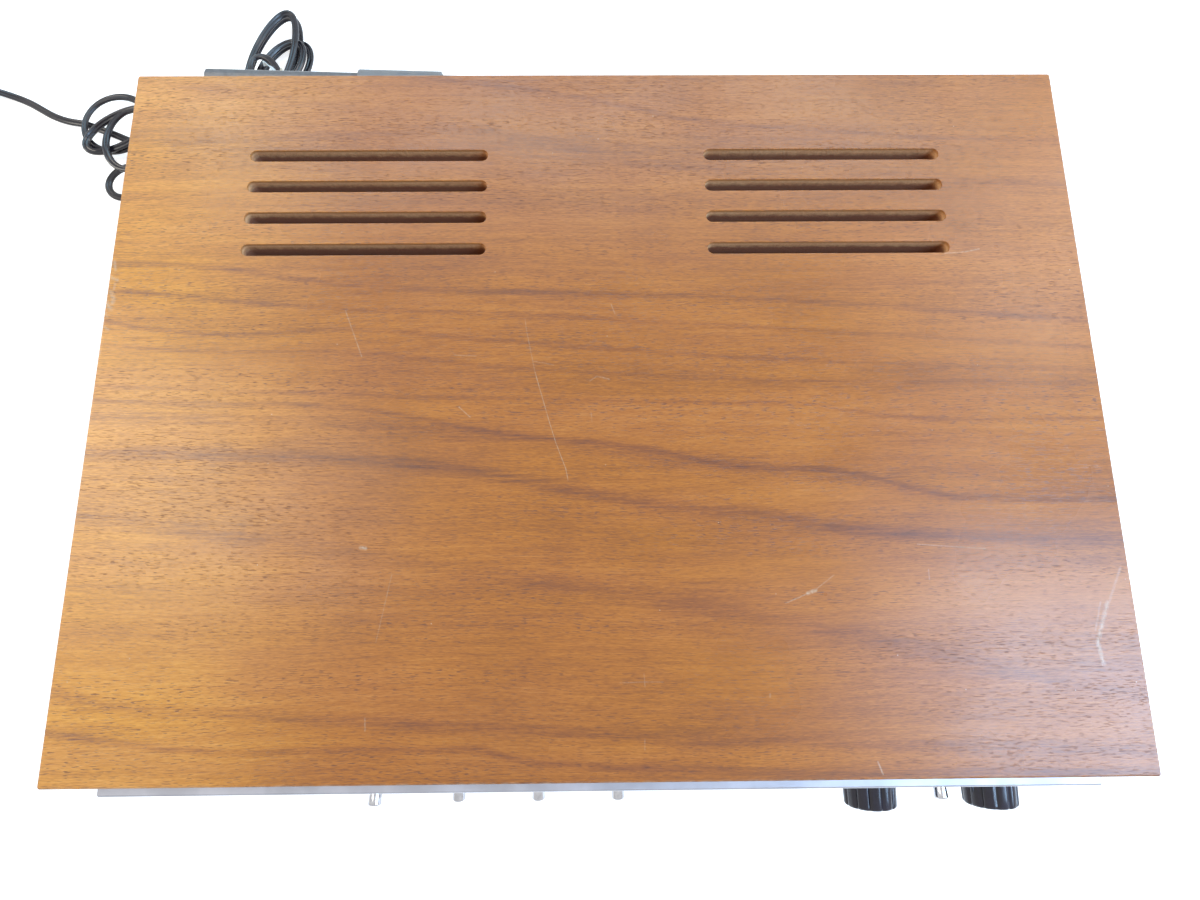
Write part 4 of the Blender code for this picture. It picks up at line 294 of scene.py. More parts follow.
held = loop_place(HANK_LOOPS, np.zeros(2), HANK_HOLD)
hank = wound(HANK_LOOPS, HANK_HUB - held, **HANK_TURNS)
loose = wound(LOOSE_LOOPS, LOOSE_MIDDLES, **LOOSE_TURNS)
near = through(GLAND_TIP, *NEAR_ROUTE, hank[0])
link = through(hank[-1], *LINK_ROUTE, loose[0])
far = through(loose[-1], *FAR_ROUTE, PLUG_REAR)
route = spaced(np.vstack([near[:-1], hank, link[1:-1], loose, far[1:]]), CORD_STEP)
LEAD_LENGTH = float(np.linalg.norm(np.diff(route, axis=0), axis=1).sum())
print(f"lead: {LEAD_LENGTH:.3f} m in {len(route)} points")

# %% [markdown]
# ## Nodes in few words
# A finish is a small network of shader nodes. The helpers below add a node to the tree that its first linked value
# belongs to, and return the output that is wanted next, so that a material reads from top to bottom like a recipe.

# %% Node helpers
def fill(node, values):
    """Sets inputs to numbers, or links them to outputs of other nodes."""
    for key, value in dict(values).items():
        if isinstance(value, bpy.types.NodeSocket):
            value.id_data.links.new(value, node.inputs[key])
        else:
            node.inputs[key].default_value = value


def add(kind, values=(), tree=None, **settings):
    """Adds a node, sets its settings and fills its inputs."""
    values = dict(values)
    tree = tree or next(value.id_data for value in values.values() if isinstance(value, bpy.types.NodeSocket))
    made = tree.nodes.new(kind)
    for key, value in settings.items():
        setattr(made, key, value)
    fill(made, values)
    return made


def calc(operation, *values, clamp=False):
    """A Math node."""
    return add("ShaderNodeMath", enumerate(values), operation=operation, use_clamp=clamp).outputs[0]


def times(first, second):
    """A product."""
    return calc("MULTIPLY", first, second)


def minus(first, second):
    """A difference."""
    return calc("SUBTRACT", first, second)


def vector_calc(operation, first, second, output=0):
    """A Vector Math node."""
    return add("ShaderNodeVectorMath", {0: first, 1: second}, operation=operation).outputs[output]


def split(vector):
    """The outputs X, Y and Z of a vector."""
    return add("ShaderNodeSeparateXYZ", {0: vector}).outputs


def flat_vector(x, y):
    """A vector in the plane of the grain."""
    return add("ShaderNodeCombineXYZ", {"X": x, "Y": y}).outputs[0]


def cloud(vector, scale=1.0, detail=2.0, roughness=0.5):
    """Noise from 0 to 1, mostly near 0.5."""
    values = {"Vector": vector, "Scale": scale, "Detail": detail, "Roughness": roughness}
    return add("ShaderNodeTexNoise", values).outputs["Fac"]


def drawn_cloud(vector, drawn, detail=2.0, roughness=0.5):
    """Noise whose axes are stretched each by itself."""
    return cloud(vector_calc("MULTIPLY", vector, drawn), 1.0, detail, roughness)


def remap(value, low, high, to_low=0.0, to_high=1.0, smooth=False):
    """Maps a range of values to another, and stops at its ends."""
    values = {"Value": value, "From Min": low, "From Max": high, "To Min": to_low, "To Max": to_high}
    return add("ShaderNodeMapRange", values, interpolation_type="SMOOTHSTEP" if smooth else "LINEAR").outputs[0]


def tint(share, first, second, mode="MIX"):
    """Mixes two colours by a share."""
    first, second = ((*colour, 1.0) if isinstance(colour, tuple) else colour for colour in (first, second))
    return add("ShaderNodeMix", {0: share, 6: first, 7: second}, data_type="RGBA", blend_type=mode).outputs[2]


def ramp(value, stops):
    """A colour ramp from (place, colour) pairs."""
    made = add("ShaderNodeValToRGB", {0: value})
    bar = made.color_ramp.elements
    while len(bar) < len(stops):
        bar.new(0.5)
    for mark, (place, colour) in zip(bar, stops):
        mark.position, mark.color = place, (*colour, 1.0)
    return made.outputs[0]


def new_finish(name, colour, roughness, metallic=0.0):
    """A material, its object coordinates in metres, and its Principled shader, whose numbers can be linked over."""
    material = bpy.data.materials.new(name)
    material.use_nodes = True
    shader = material.node_tree.nodes["Principled BSDF"]
    fill(shader, {"Base Color": (*colour, 1.0), "Roughness": roughness, "Metallic": metallic})
    return material, add("ShaderNodeTexCoord", tree=material.node_tree).outputs["Object"], shader


def bump(shader, height, distance, strength=1.0):
    """Lets a height tip the surface's normal."""
    made = add("ShaderNodeBump", {"Height": height, "Distance": distance, "Strength": strength})
    fill(shader, {"Normal": made.outputs[0]})


def new_group(name, inputs, outputs):
    """A shader node group. An input with a number is a Float and any other a Vector."""
    group = bpy.data.node_groups.new(name, "ShaderNodeTree")
    for label, value in inputs.items():
        kind = "Float" if isinstance(value, float) else "Vector"
        socket = group.interface.new_socket(name=label, in_out="INPUT", socket_type=f"NodeSocket{kind}")
        if value is not None:
            socket.default_value = value
    for label, kind in outputs.items():
        group.interface.new_socket(name=label, in_out="OUTPUT", socket_type=f"NodeSocket{kind}")
    return group, group.nodes.new("NodeGroupInput").outputs, group.nodes.new("NodeGroupOutput")


def use_group(group, values):
    """Places a group in a material with its own values."""
    return add("ShaderNodeGroup", values, node_tree=group).outputs


# %% [markdown]
# ## Effects that many finishes share
# Handled things are never even. Three small groups serve most finishes: slow clouds that shift a tone or a gloss,
# long fine lines as brushing and wood fibres leave them, and a stroke between two points for a scratch.

# %% Shared groups
def make_noise(name, key, value, noise_of, detail, roughness):
    """Noise at a Scale or drawn out by a Stretch, mapped from its usual middle range to Low and High."""
    group, given, out = new_group(name, {"Vector": None, key: value, "Low": 0.0, "High": 1.0}, {"Value": "Float"})
    noise = noise_of(given["Vector"], given[key], detail, roughness)
    fill(out, {"Value": remap(noise, 0.3, 0.7, given["Low"], given["High"], smooth=True)})
    return group


def make_stroke():
    """Distance from a segment: t = clamp(ap . ab / ab . ab), d = |ap - t ab|. The mask fades to 0 at Width."""
    origin = (0.0, 0.0, 0.0)
    group, given, out = new_group("stroke", {"Vector": None, "Start": origin, "End": origin, "Width": 0.001},
                                  {"Mask": "Float"})
    along = vector_calc("SUBTRACT", given["End"], given["Start"])
    apart = vector_calc("SUBTRACT", given["Vector"], given["Start"])
    shadow = vector_calc("DOT_PRODUCT", apart, along, "Value")
    square = vector_calc("DOT_PRODUCT", along, along, "Value")
    share = calc("DIVIDE", shadow, square, clamp=True)
    foot = add("ShaderNodeVectorMath", {0: along, "Scale": share}, operation="SCALE").outputs[0]
    fill(out, {"Mask": remap(vector_calc("DISTANCE", apart, foot, "Value"), 0.0, given["Width"], 1.0, 0.0)})
    return group


CLOUDS = make_noise("slow_clouds", "Scale", 40.0, cloud, 3.0, 0.55)
LINES = make_noise("fine_lines", "Stretch", (1.0, 1.0, 1.0), drawn_cloud, 4.0, 0.65)
STROKE = make_stroke()


def clouds(vector, scale, low, high):
    """Slow clouds between two values."""
    return use_group(CLOUDS, {"Vector": vector, "Scale": scale, "Low": low, "High": high})["Value"]


def lines(vector, drawn, low, high):
    """Fine lines between two values."""
    return use_group(LINES, {"Vector": vector, "Stretch": drawn, "Low": low, "High": high})["Value"]


# %% [markdown]
# ## Walnut
# The case is veneered: one sheet runs up the left side, over the top and down the right, so its grain goes along X
# on top and along Z on the sides. Walnut shows slow bands where the rings were cut, fine fibres, and open pores,
# which are short dark dashes. The group works in metres along and across the grain, and bends the across value with
# slow noise before anything reads it, which is why every band waves together, as in real wood.
# A layer is (stretch, detail, roughness, share of the tone, whether the figure scales it).

# %% Walnut group
WALNUT_LAYERS = [
    ((2.2, 46.0, 0.0), 3.0, 0.55, 0.62, True),
    ((16.0, 22.0, 0.0), 3.0, 0.60, 0.34, True),
    ((18.0, 420.0, 0.0), 4.0, 0.62, 0.42, False),
    ((90.0, 1500.0, 0.0), 3.0, 0.60, 0.46, False),
    ((330.0, 2300.0, 0.0), 1.0, 0.50, 0.42, False),
]
WALNUT_STOPS = [(0.10, (0.177, 0.060, 0.024)), (0.34, (0.331, 0.104, 0.021)), (0.52, (0.468, 0.150, 0.023)),
                (0.70, (0.562, 0.199, 0.035)), (0.95, (0.666, 0.287, 0.078))]
WALNUT_PLAIN = (0.4, 0.18, 0.06)
PORE_COLOUR = (0.135, 0.048, 0.026)
MAUVE = (0.86, 0.84, 1.50)
# Painted light: a lighter, yellower tint for the left end of the top, standing in for the lamps' sheen on the wood
# there.
LEFT_SHEEN_TINT = (1.85, 2.50, 2.90)
WORN_COLOUR = (0.66, 0.50, 0.36)
CASE_LOW, CASE_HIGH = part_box("case_top")
TOP_Z = CASE_HIGH.z


def make_walnut():
    """Tone is 0.5 plus a share of each layer of drawn-out noise. Pores and Hue go from 0 to 1."""
    group, given, out = new_group("walnut", {"Vector": None, "Figure": 1.0},
                                  {"Tone": "Float", "Pores": "Float", "Hue": "Float", "Waved": "Vector"})
    vector = given["Vector"]
    slow = calc("MULTIPLY_ADD", drawn_cloud(vector, (3.0, 7.0, 0.0), 1.0), 0.016, -0.008)
    quick = calc("MULTIPLY_ADD", drawn_cloud(vector, (14.0, 40.0, 0.0)), 0.0024, -0.0012)
    shift = add("ShaderNodeCombineXYZ", {"Y": calc("ADD", slow, quick)}).outputs[0]
    waved = vector_calc("ADD", vector, shift)
    tone = 0.5
    for drawn, detail, roughness, share, figured in WALNUT_LAYERS:
        noise = minus(drawn_cloud(waved, drawn, detail, roughness), 0.5)
        noise = times(noise, given["Figure"]) if figured else noise
        tone = calc("MULTIPLY_ADD", noise, share, tone)
    short = remap(drawn_cloud(waved, (270.0, 2000.0, 0.0), 1.0, 0.4), 0.61, 0.69)
    long = remap(drawn_cloud(waved, (150.0, 2100.0, 0.0), 1.0, 0.4), 0.64, 0.72)
    crowd = remap(drawn_cloud(waved, (7.0, 70.0, 0.0), 3.0, 0.6), 0.36, 0.62, 0.25, 1.0)
    hue = remap(drawn_cloud(waved, (10.0, 44.0, 0.0), 3.0, 0.55), 0.38, 0.64)
    fill(out, {"Tone": tone, "Pores": times(calc("MAXIMUM", short, long), crowd), "Hue": hue, "Waved": waved})
    return group


WALNUT = make_walnut()
print("top board", [round(1000 * x, 1) for x in (*CASE_LOW, *CASE_HIGH)], "mm")

# %% [markdown]
# ## Streaks, marks and worn edges of the top
# The eye knows this board by a few dark streaks that run down to the right. Each is drawn on a Float Curve through
# listed points, in millimetres, and fades out at its width. The scratches are strokes. All of them
# are masks that darken or lighten the one walnut tone, so they look like wood and not like paint.
# A row is (width, strength, points).

# %% Streaks and scratches
MM = 0.001
STREAKS = [
    (4.8, 0.2, [(-220, -23.5), (-145, -25.6), (-91, -28.6), (-52, -33.4), (-10, -41.5), (29, -48.4), (65, -51.4),
                (95, -56.5), (125, -60.4), (220, -64.6)]),
    (2.2, 0.14, [(-220, 51.5), (-166, 45.5), (-121, 41.6), (-52, 38), (8, 35), (80, 30.2), (140, 26), (220, 20.6)]),
    (2, 0.14, [(-220, 36.5), (-196, 32), (-160, 29.6), (-115, 31.4), (-52, 26), (-10, 22.4), (60, 17), (220, 10)]),
    (2.2, 0.16, [(-220, -1), (-175, -2.5), (-100, -5.8), (-52, -15), (20, -23.5), (65, -32.5), (98, -33), (155, -46),
                 (220, -47)]),
    (6, 0.13, [(-220, -8), (-100, -12), (-25, -19), (41, -28), (119, -38.5), (155, -45), (220, -44)]),
    (1.8, 0.12, [(-220, 25.4), (-190, 22.4), (-100, 20), (-52, 14), (50, 7.4), (83, 6), (220, 4)]),
    (1.9, 0.13, [(-220, 6), (-40, -1), (50, -3.4), (95, -5.5), (125, -10), (170, -12.1), (220, -11.5)]),
    (2.6, 0.15, [(-220, 63.5), (-181, 62), (-115, 53), (-40, 48.2), (68, 44.6), (220, 33)]),
    (4.6, 0.15, [(-220, -121), (-190, -127), (-145, -130), (-40, -137.5), (220, -148)]),
    (2.6, 0.19, [(-220, -136), (-190, -140.5), (-145, -144.4), (-55, -144.4), (-28, -149.5), (220, -156)]),
    (2.6, 0.13, [(-220, 170), (-28, 152), (8, 144.5), (50, 135.5), (98, 131), (170, 125.6), (220, 125)]),
    (6, 0.07, [(-220, 160), (-70, 134), (-25, 125), (8, 116), (220, 100)]),
    (6.5, 0.11, [(-220, -50), (95, -100), (140, -110.5), (200, -124), (220, -126)]),
]
SCRATCHES = [
    (0.4, 0.42, [(-113, 40), (-104.5, 18.5)]), (0.3, 0.3, [(-33, 35.7), (-32, 29.1), (-28.3, 11)]),
    (0.3, 0.55, [(-28.3, 11), (-22, -11.2), (-19, -21), (-14.7, -32.4), (-13.8, -37.1)]),
    (0.4, 0.5, [(75.8, -89.1), (84.7, -85.5)]), (1, 0.95, [(85, -85.3), (88.4, -84)]),
    (0.4, 0.4, [(87.7, -84.3), (96.5, -77.9)]), (0.8, 0.3, [(216.5, -76), (207.5, -94)]),
    (1.2, 0.62, [(209, -90), (206.2, -96.5), (202.4, -106), (203.6, -114.4)]), (0.6, 0.3, [(206, -90), (202.2, -101)]),
    (0.5, 0.7, [(108.3, -150.6), (109.9, -155)]), (1.1, 0.62, [(-100, -64.9), (-98, -65.2)]),
    (0.3, 0.5, [(132.5, -65.5), (161, -67.6)]), (0.5, 0.45, [(158.6, 66.5), (168, 67.2), (174.5, 68.6)]),
    (0.4, 0.45, [(-61.1, -4.7), (-56.2, -9.2)]), (0.3, 0.3, [(-86.5, -76), (-91.6, -103)]),
    (0.3, 0.3, [(16.8, -116.4), (17.1, -121.4)]), (0.3, 0.3, [(16.6, -141.1), (16.5, -145.1)]),
    (0.3, 0.28, [(7.1, -119.8), (16.3, -119.5), (24.4, -119.6)]), (0.4, 0.45, [(136.1, -76), (136.1, -80)]),
    (0.4, 0.35, [(5.5, 42.6), (7.2, 37.8)]), (0.4, 0.35, [(-4.2, 6.7), (-1.1, 8.9), (4.2, 7.5)]),
    (0.4, 0.3, [(-64, 19), (-54.3, 18.5)]), (0.3, 0.28, [(-29.2, 16), (-20, 14.1)]),
    (0.3, 0.25, [(-3.8, -7.3), (-3.4, -11.8)]), (0.4, 0.4, [(-94.3, -132), (-94, -136.9)]),
    (0.5, 0.4, [(67.2, -124.6), (67.1, -125.8)]), (0.9, 0.6, [(-218.5, 64.6), (-217.6, 60.3)]),
    (1.1, 0.6, [(-219.4, 56.9), (-216.1, 55.4)]), (0.8, 0.45, [(-216.9, 53.5), (-217.1, 51.1)]),
    (1.5, 0.55, [(-218.2, 49.6), (-216.8, 46.8), (-216.8, 44.5)]), (1.6, 0.6, [(-219.8, 44.9), (-217.4, 41.5)]),
    (1.1, 0.4, [(-219.5, 39.6), (-218.3, 38.2)]), (0.8, 0.55, [(-219.1, 33), (-216.7, 31.6)]),
    (0.8, 0.5, [(-219.6, 22.3), (-219.5, 20)]),
]
CURVE_REACH = 0.25


def streak_mask(along, across, width, points):
    """A curve gives the streak's place for each x. The mask is 1 on it and eases to 0 a width away."""
    where = add("ShaderNodeFloatCurve", {"Value": remap(along, -CURVE_REACH, CURVE_REACH)})
    curve = where.mapping.curves[0]
    marks = (np.array(points) * MM + CURVE_REACH) / (2 * CURVE_REACH)
    curve.points[0].location, curve.points[1].location = marks[0], marks[-1]
    for mark in marks[1:-1]:
        curve.points.new(*mark)
    for point in curve.points:
        point.handle_type = "AUTO_CLAMPED"
    where.mapping.update()
    middle = calc("MULTIPLY_ADD", where.outputs[0], 2 * CURVE_REACH, -CURVE_REACH)
    return remap(calc("ABSOLUTE", minus(across, middle)), 0.0, width * MM, 1.0, 0.0, smooth=True)


def specks(flat, scale, size, share):
    """Small dots: the middles of a share of the cells of a Voronoi pattern."""
    cells = add("ShaderNodeTexVoronoi", {"Vector": flat, "Scale": scale}, voronoi_dimensions="2D").outputs
    chosen = calc("LESS_THAN", add("ShaderNodeSeparateColor", {0: cells["Color"]}).outputs[0], share)
    return times(remap(cells["Distance"], size, 0.3 * size), chosen)


def worn_marks(flat, place):
    """The scratches as strokes, broken up by clouds, and a few tiny nicks."""
    marks = specks(flat, 42.0, 0.013, 0.16)
    for width, strength, points in SCRATCHES:
        ends = [(x * MM, y * MM, 0.0) for x, y in points]
        for start, end in zip(ends, ends[1:]):
            mask = use_group(STROKE, {"Vector": flat, "Start": start, "End": end, "Width": width * MM})["Mask"]
            marks = calc("MAXIMUM", marks, times(mask, strength))
    return times(marks, clouds(place, 1100.0, 0.30, 1.0))


def rubbed_edges(x, y, drop, place):
    """1 at the rim of the top face and 0 within a millimetre of it, above and below, in patches."""
    side = minus(CASE_HIGH.x, calc("ABSOLUTE", x))
    ends = calc("MINIMUM", minus(y, CASE_LOW.y), minus(CASE_HIGH.y, y))
    rim = times(remap(calc("MINIMUM", side, ends), 0.0010, 0.0), remap(drop, 0.0016, 0.0006))
    return times(rim, clouds(place, 240.0, 0.0, 0.42))


def open_grain(shader, wood, distance, strength):
    """The tone lifts the surface a little, and the pores sink into it."""
    bump(shader, minus(times(wood["Tone"], 0.3), wood["Pores"]), distance, strength)


def make_top_wood():
    """The top's own walnut: streaks drawn as on this board, scratches, a left end made lighter as painted light for the
    lamps' sheen there, and rubbed edges.
    """
    material, place, shader = new_finish("walnut_top", WALNUT_PLAIN, 0.42)
    x, y, z = split(place)
    drop = minus(TOP_Z, z)
    across = calc("ADD", y, drop)
    flat = flat_vector(x, across)
    wood = use_group(WALNUT, {"Vector": flat, "Figure": 0.8})
    wander = calc("MULTIPLY_ADD", minus(split(wood["Waved"])["Y"], across), 0.22, across)
    rough = lines(flat, (34.0, 760.0, 0.0), 0.25, 1.45)
    dark, *others = [times(streak_mask(x, wander, width, points), strength) for width, strength, points in STREAKS]
    for other in others:
        dark = calc("ADD", dark, other)
    colour = ramp(minus(wood["Tone"], times(dark, rough)), WALNUT_STOPS)
    mauve = calc("MULTIPLY_ADD", wood["Hue"], 0.45, dark, clamp=True)
    colour = tint(mauve, colour, MAUVE, "MULTIPLY")
    # Painted light: the left end of the top is made lighter in colour, in place of the sheen that the lamps give it.
    left_sheen = remap(x, -0.09, -0.22, 0.0, 0.66, smooth=True)
    colour = tint(left_sheen, colour, LEFT_SHEEN_TINT, "MULTIPLY")
    colour = tint(times(wood["Pores"], 0.80), colour, PORE_COLOUR)
    pale = calc("MAXIMUM", worn_marks(flat, place), rubbed_edges(x, y, drop, place))
    fill(shader, {"Base Color": tint(pale, colour, WORN_COLOUR)})
    fill(shader, {"Roughness": calc("MULTIPLY_ADD", wood["Pores"], 0.20, clouds(place, 14.0, 0.25, 0.34))})
    open_grain(shader, wood, 0.00006, 0.5)
    return material


def make_case_wood(name, along, figure=1.0):
    """Walnut for the sides and the edges, with its grain along one axis."""
    material, place, shader = new_finish(name, WALNUT_PLAIN, 0.42)
    axes = split(place)
    other = calc("ADD", axes["Y"], axes["X" if along == "Z" else "Z"])
    wood = use_group(WALNUT, {"Vector": flat_vector(axes[along], other), "Figure": figure})
    colour = ramp(wood["Tone"], WALNUT_STOPS)
    colour = tint(times(wood["Hue"], 0.5), colour, MAUVE, "MULTIPLY")
    colour = tint(times(wood["Pores"], 0.6), colour, PORE_COLOUR)
    fill(shader, {"Base Color": colour, "Roughness": calc("MULTIPLY_ADD", wood["Pores"], 0.25, 0.42)})
    open_grain(shader, wood, 0.00008, 0.6)
    return material


def make_raw_wood():
    """The cut board: ochre and rough near the top, and darker towards the bottom as painted shade, where the deep slot
    lies in shade.
    """
    material, place, shader = new_finish("raw_board", (0.2, 0.09, 0.04), 0.85)
    drop = minus(TOP_Z, split(place)["Z"])
    ragged = calc("MULTIPLY_ADD", cloud(place, 240.0, 4.0, 0.65), 0.0044, drop)
    # Painted shade: the wall turns dark with its depth below the top, as the inside of the slot is shaded.
    painted = remap(ragged, 0.0042, 0.0082, 0.0, 0.86, smooth=True)
    layers = lines(place, (30.0, 30.0, 900.0), 0.0, 1.0)
    grit = clouds(place, 800.0, 0.0, 1.0)
    colour = tint(layers, (0.800, 0.410, 0.180), (0.920, 0.570, 0.290))
    colour = tint(times(grit, 0.24), colour, (0.22, 0.100, 0.065))
    colour = tint(remap(drop, 0.0016, 0.0008), colour, (0.58, 0.25, 0.08))
    fill(shader, {"Base Color": tint(painted, colour, (0.225, 0.072, 0.038))})
    bump(shader, grit, 0.0002, 0.5)
    return material


TOP_WOOD = make_top_wood()
SIDE_WOOD = make_case_wood("walnut_side", "Z")
BOTTOM_WOOD = make_case_wood("board_bottom", "X", 0.5)
RAW_WOOD = make_raw_wood()
print(len(STREAKS), "streaks and", len(SCRATCHES), "scratches")

# %% [markdown]
# ## The top board
# The model's board has sharp edges and slot ends of six flats. Here each slot is a ring in the form of a stadium,
# carried down a profile that rolls over a small round before it drops. The outer edge is done in the same way, with
# a mitre under its ends. The flat faces between the rings are filled in, so the whole board is one closed mesh.

# %% Top board
EDGE_ROUND, CORNER_ROUND, SLOT_ROUND, FLAT_RIM = 0.0006, 0.0011, 0.0002, 0.0003
CORNER_STEPS, ROUND_STEPS, SLOT_END_STEPS = 6, 4, 14
BOARD = CASE_HIGH.z - CASE_LOW.z
SLOT_LENGTH, SLOT_WIDTH, SLOT_PITCH, SLOT_ROWS = 0.111, 0.0056, 0.0159, 4
SLOT_REAR = CASE_HIGH.y - 0.0434
SLOT_MIDDLES = (-0.1069, 0.1055)


def rounding(radius):
    """Insets and drops over a round: r (1 - sin a) and r (1 - cos a), after a flat rim on the top face."""
    angle = np.linspace(0.0, pi / 2, ROUND_STEPS + 1)
    return [(radius + FLAT_RIM, 0.0), *zip(radius * (1 - np.sin(angle)), radius * (1 - np.cos(angle)))]


def slot_rings(middle_x, middle_y):
    """A slot's wall from the top down: two half circles, x = +-(length - width) / 2 + r cos a, y = r sin a."""
    angle = np.linspace(-pi / 2, pi / 2, SLOT_END_STEPS + 1)
    rings = []
    for grow, drop in [*rounding(SLOT_ROUND), (0.0, BOARD)]:
        radius = SLOT_WIDTH / 2 + grow
        right = np.column_stack([(SLOT_LENGTH - SLOT_WIDTH) / 2 + radius * np.cos(angle), radius * np.sin(angle)])
        rings.append(np.insert(np.vstack([right, -right]) + (middle_x, middle_y), 2, TOP_Z - drop, axis=1))
    return np.array(rings)


def plan_outline(half, inset, height):
    """An oblong with quarter-circle corners: each is its middle plus r (cos a, sin a), a quarter turn at a time."""
    radius = CORNER_ROUND - 0.5 * inset
    x, low, high = half - radius, CASE_LOW.y + inset + radius, CASE_HIGH.y - inset - radius
    ring = []
    for quarter, middle in enumerate([(x, high), (-x, high), (-x, low), (x, low)]):
        angle = pi / 2 * (quarter + np.linspace(0.0, 1.0, CORNER_STEPS))
        ring.append(middle + radius * np.column_stack([np.cos(angle), np.sin(angle)]))
    return np.insert(np.vstack(ring), 2, height, axis=1)


def outer_rings():
    """The board's outline from the top down: a round over the edge, then the mitre under both ends."""
    levels = [(inset, drop, 0.0) for inset, drop in [*rounding(EDGE_ROUND), (0.0, 2 * EDGE_ROUND)]]
    levels.append((0.0, BOARD, BOARD - 2 * EDGE_ROUND))
    return np.array([plan_outline(CASE_HIGH.x - inset - mitre, inset, TOP_Z - drop) for inset, drop, mitre in levels])


def from_work(name, work, *materials):
    """An object from a mesh that was worked on, which is freed."""
    mesh = bpy.data.meshes.new(name)
    work.to_mesh(mesh)
    work.free()
    mesh.shade_smooth()
    for material in materials:
        mesh.materials.append(material)
    return show(name, mesh)


def make_top_board():
    """Walls from rings, and the flat faces filled between the outline and the slots."""
    walls = [outer_rings()]
    walls += [slot_rings(middle, SLOT_REAR - SLOT_PITCH * row) for middle in SLOT_MIDDLES for row in range(SLOT_ROWS)]
    work = bmesh.new()
    rims = {0: [], -1: []}
    for number, rings in enumerate(walls):
        verts = [[work.verts.new(point) for point in ring] for ring in rings]
        flat = sum(verts, [])
        for face in ring_faces(*rings.shape[:2], False):
            made = work.faces.new([flat[corner] for corner in face])
            made.material_index = int(number > 0 and made.verts[2].co.z < TOP_Z - 2 * SLOT_ROUND)
        for end, rim in rims.items():
            rim += [work.edges.get(pair) for pair in zip(verts[end], verts[end][1:] + verts[end][:1])]
    for end, rim in rims.items():
        for made in bmesh.ops.triangle_fill(work, use_beauty=True, edges=rim)["geom"]:
            if isinstance(made, bmesh.types.BMFace):
                made.material_index = int(end != 0)
    bmesh.ops.recalc_face_normals(work, faces=work.faces)
    board = from_work("top_board", work, TOP_WOOD, RAW_WOOD)
    board.data.set_sharp_from_angle(angle=SHARP)
    print("top board:", len(board.data.polygons), "faces")
    dress(board, "receiver", "walnut", "case_top")


make_top_board()

# %% [markdown]
# ## Other pieces of the model, softened
# No real edge is a knife. A node whose shape is right is copied, its loose triangles are merged, its flat areas are
# dissolved, and its sharp edges get a narrow bevel that catches the light.

# %% Softened copies
SOFT_ANGLE = radians(40.0)
FLAT_ANGLE = radians(1.0)
BROAD = 0.00002


def sharpen(work):
    """Edges are sharp above an angle, and next to a broad flat face at once, so that its shading stays even."""
    for edge in work.edges:
        if edge.is_manifold:
            broad = max(face.calc_area() for face in edge.link_faces) > BROAD
            edge.smooth = edge.calc_face_angle() < (FLAT_ANGLE if broad else SHARP)


def softened(node, material, slot, width=0.0, steps=2):
    """A merged copy of a node with narrow bevels on its sharp edges, which stands in for it."""
    work = bmesh.new()
    work.from_mesh(NODES[node].data)
    bmesh.ops.remove_doubles(work, verts=work.verts, dist=WELD)
    bmesh.ops.dissolve_limit(work, angle_limit=FLAT_ANGLE, verts=work.verts, edges=work.edges)
    if width:
        edges = [edge for edge in work.edges if edge.is_manifold and edge.calc_face_angle() > SOFT_ANGLE]
        bmesh.ops.bevel(work, geom=edges, offset=width, segments=steps, profile=0.5, affect="EDGES",
                        clamp_overlap=True)
    sharpen(work)
    return dress(from_work(node + "_finished", work, material), NODES[node]["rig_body"], slot, node)


def coat(material, *nodes):
    """A node whose own mesh stays gets a better material."""
    for node in nodes:
        NODES[node].data.materials.clear()
        NODES[node].data.materials.append(material)


for node in ("case_left_side", "case_right_side"):
    piece = softened(node, SIDE_WOOD, "walnut", 0.0005, 3)
    print(piece.name, len(piece.data.polygons), "faces")
coat(BOTTOM_WOOD, "case_bottom")

# %% [markdown]
# ## Metals
# Brushed metal is told by its lines: they stretch a highlight across themselves. Fine lines along X drive both the
# roughness and a very low bump. Plated steel shows broad crystals, and polished chrome is left almost smooth.

# %% Metals
def shaded(shader, shade, colour):
    """A colour that is darkened by a shade."""
    grey = add("ShaderNodeCombineColor", {0: shade, 1: shade, 2: shade}).outputs[0]
    fill(shader, {"Base Color": tint(1.0, grey, colour, "MULTIPLY")})


def make_brushed(name, colour, drawn, rough_low, rough_high):
    """Metal brushed along the axis that is stretched the least."""
    material, place, shader = new_finish(name, colour, 0.3, 1.0)
    fill(shader, {"Roughness": lines(place, drawn, rough_low, rough_high)})
    shade = lines(place, tuple(0.5 * axis for axis in drawn), 0.86, 1.0)
    shaded(shader, shade, colour)
    bump(shader, shade, 0.00002, 0.35)
    return material


def make_plated(name, colour, rough_low, rough_high, metallic=1.0, speckle=120.0):
    """Metal with slow clouds in its tone and gloss."""
    material, place, shader = new_finish(name, colour, 0.4, metallic)
    shaded(shader, clouds(place, speckle, 0.80, 1.0), colour)
    fill(shader, {"Roughness": clouds(place, speckle / 3, rough_low, rough_high)})
    return material


FASCIA_METAL = make_brushed("fascia_aluminium", (0.74, 0.75, 0.78), (14.0, 2400.0, 2400.0), 0.24, 0.40)
FASCIA_EDGE = make_plated("fascia_edge", (0.46, 0.47, 0.53), 0.42, 0.55, 1.0, 60.0)
ALUMINIUM = make_plated("cast_aluminium", (0.70, 0.71, 0.73), 0.32, 0.50)
CHROME = make_plated("chrome", (0.58, 0.58, 0.61), 0.05, 0.14, 1.0, 300.0)
STEEL = make_plated("plated_steel", (0.56, 0.56, 0.54), 0.34, 0.55, 1.0, 60.0)
BRASS = make_plated("turned_brass", (0.72, 0.53, 0.23), 0.20, 0.38)
BLACK_IRON = make_plated("varnished_iron", (0.035, 0.033, 0.032), 0.38, 0.60, 0.3)
BLACK_ANODISED = make_plated("black_anodised", (0.035, 0.035, 0.038), 0.38, 0.55, 0.6)
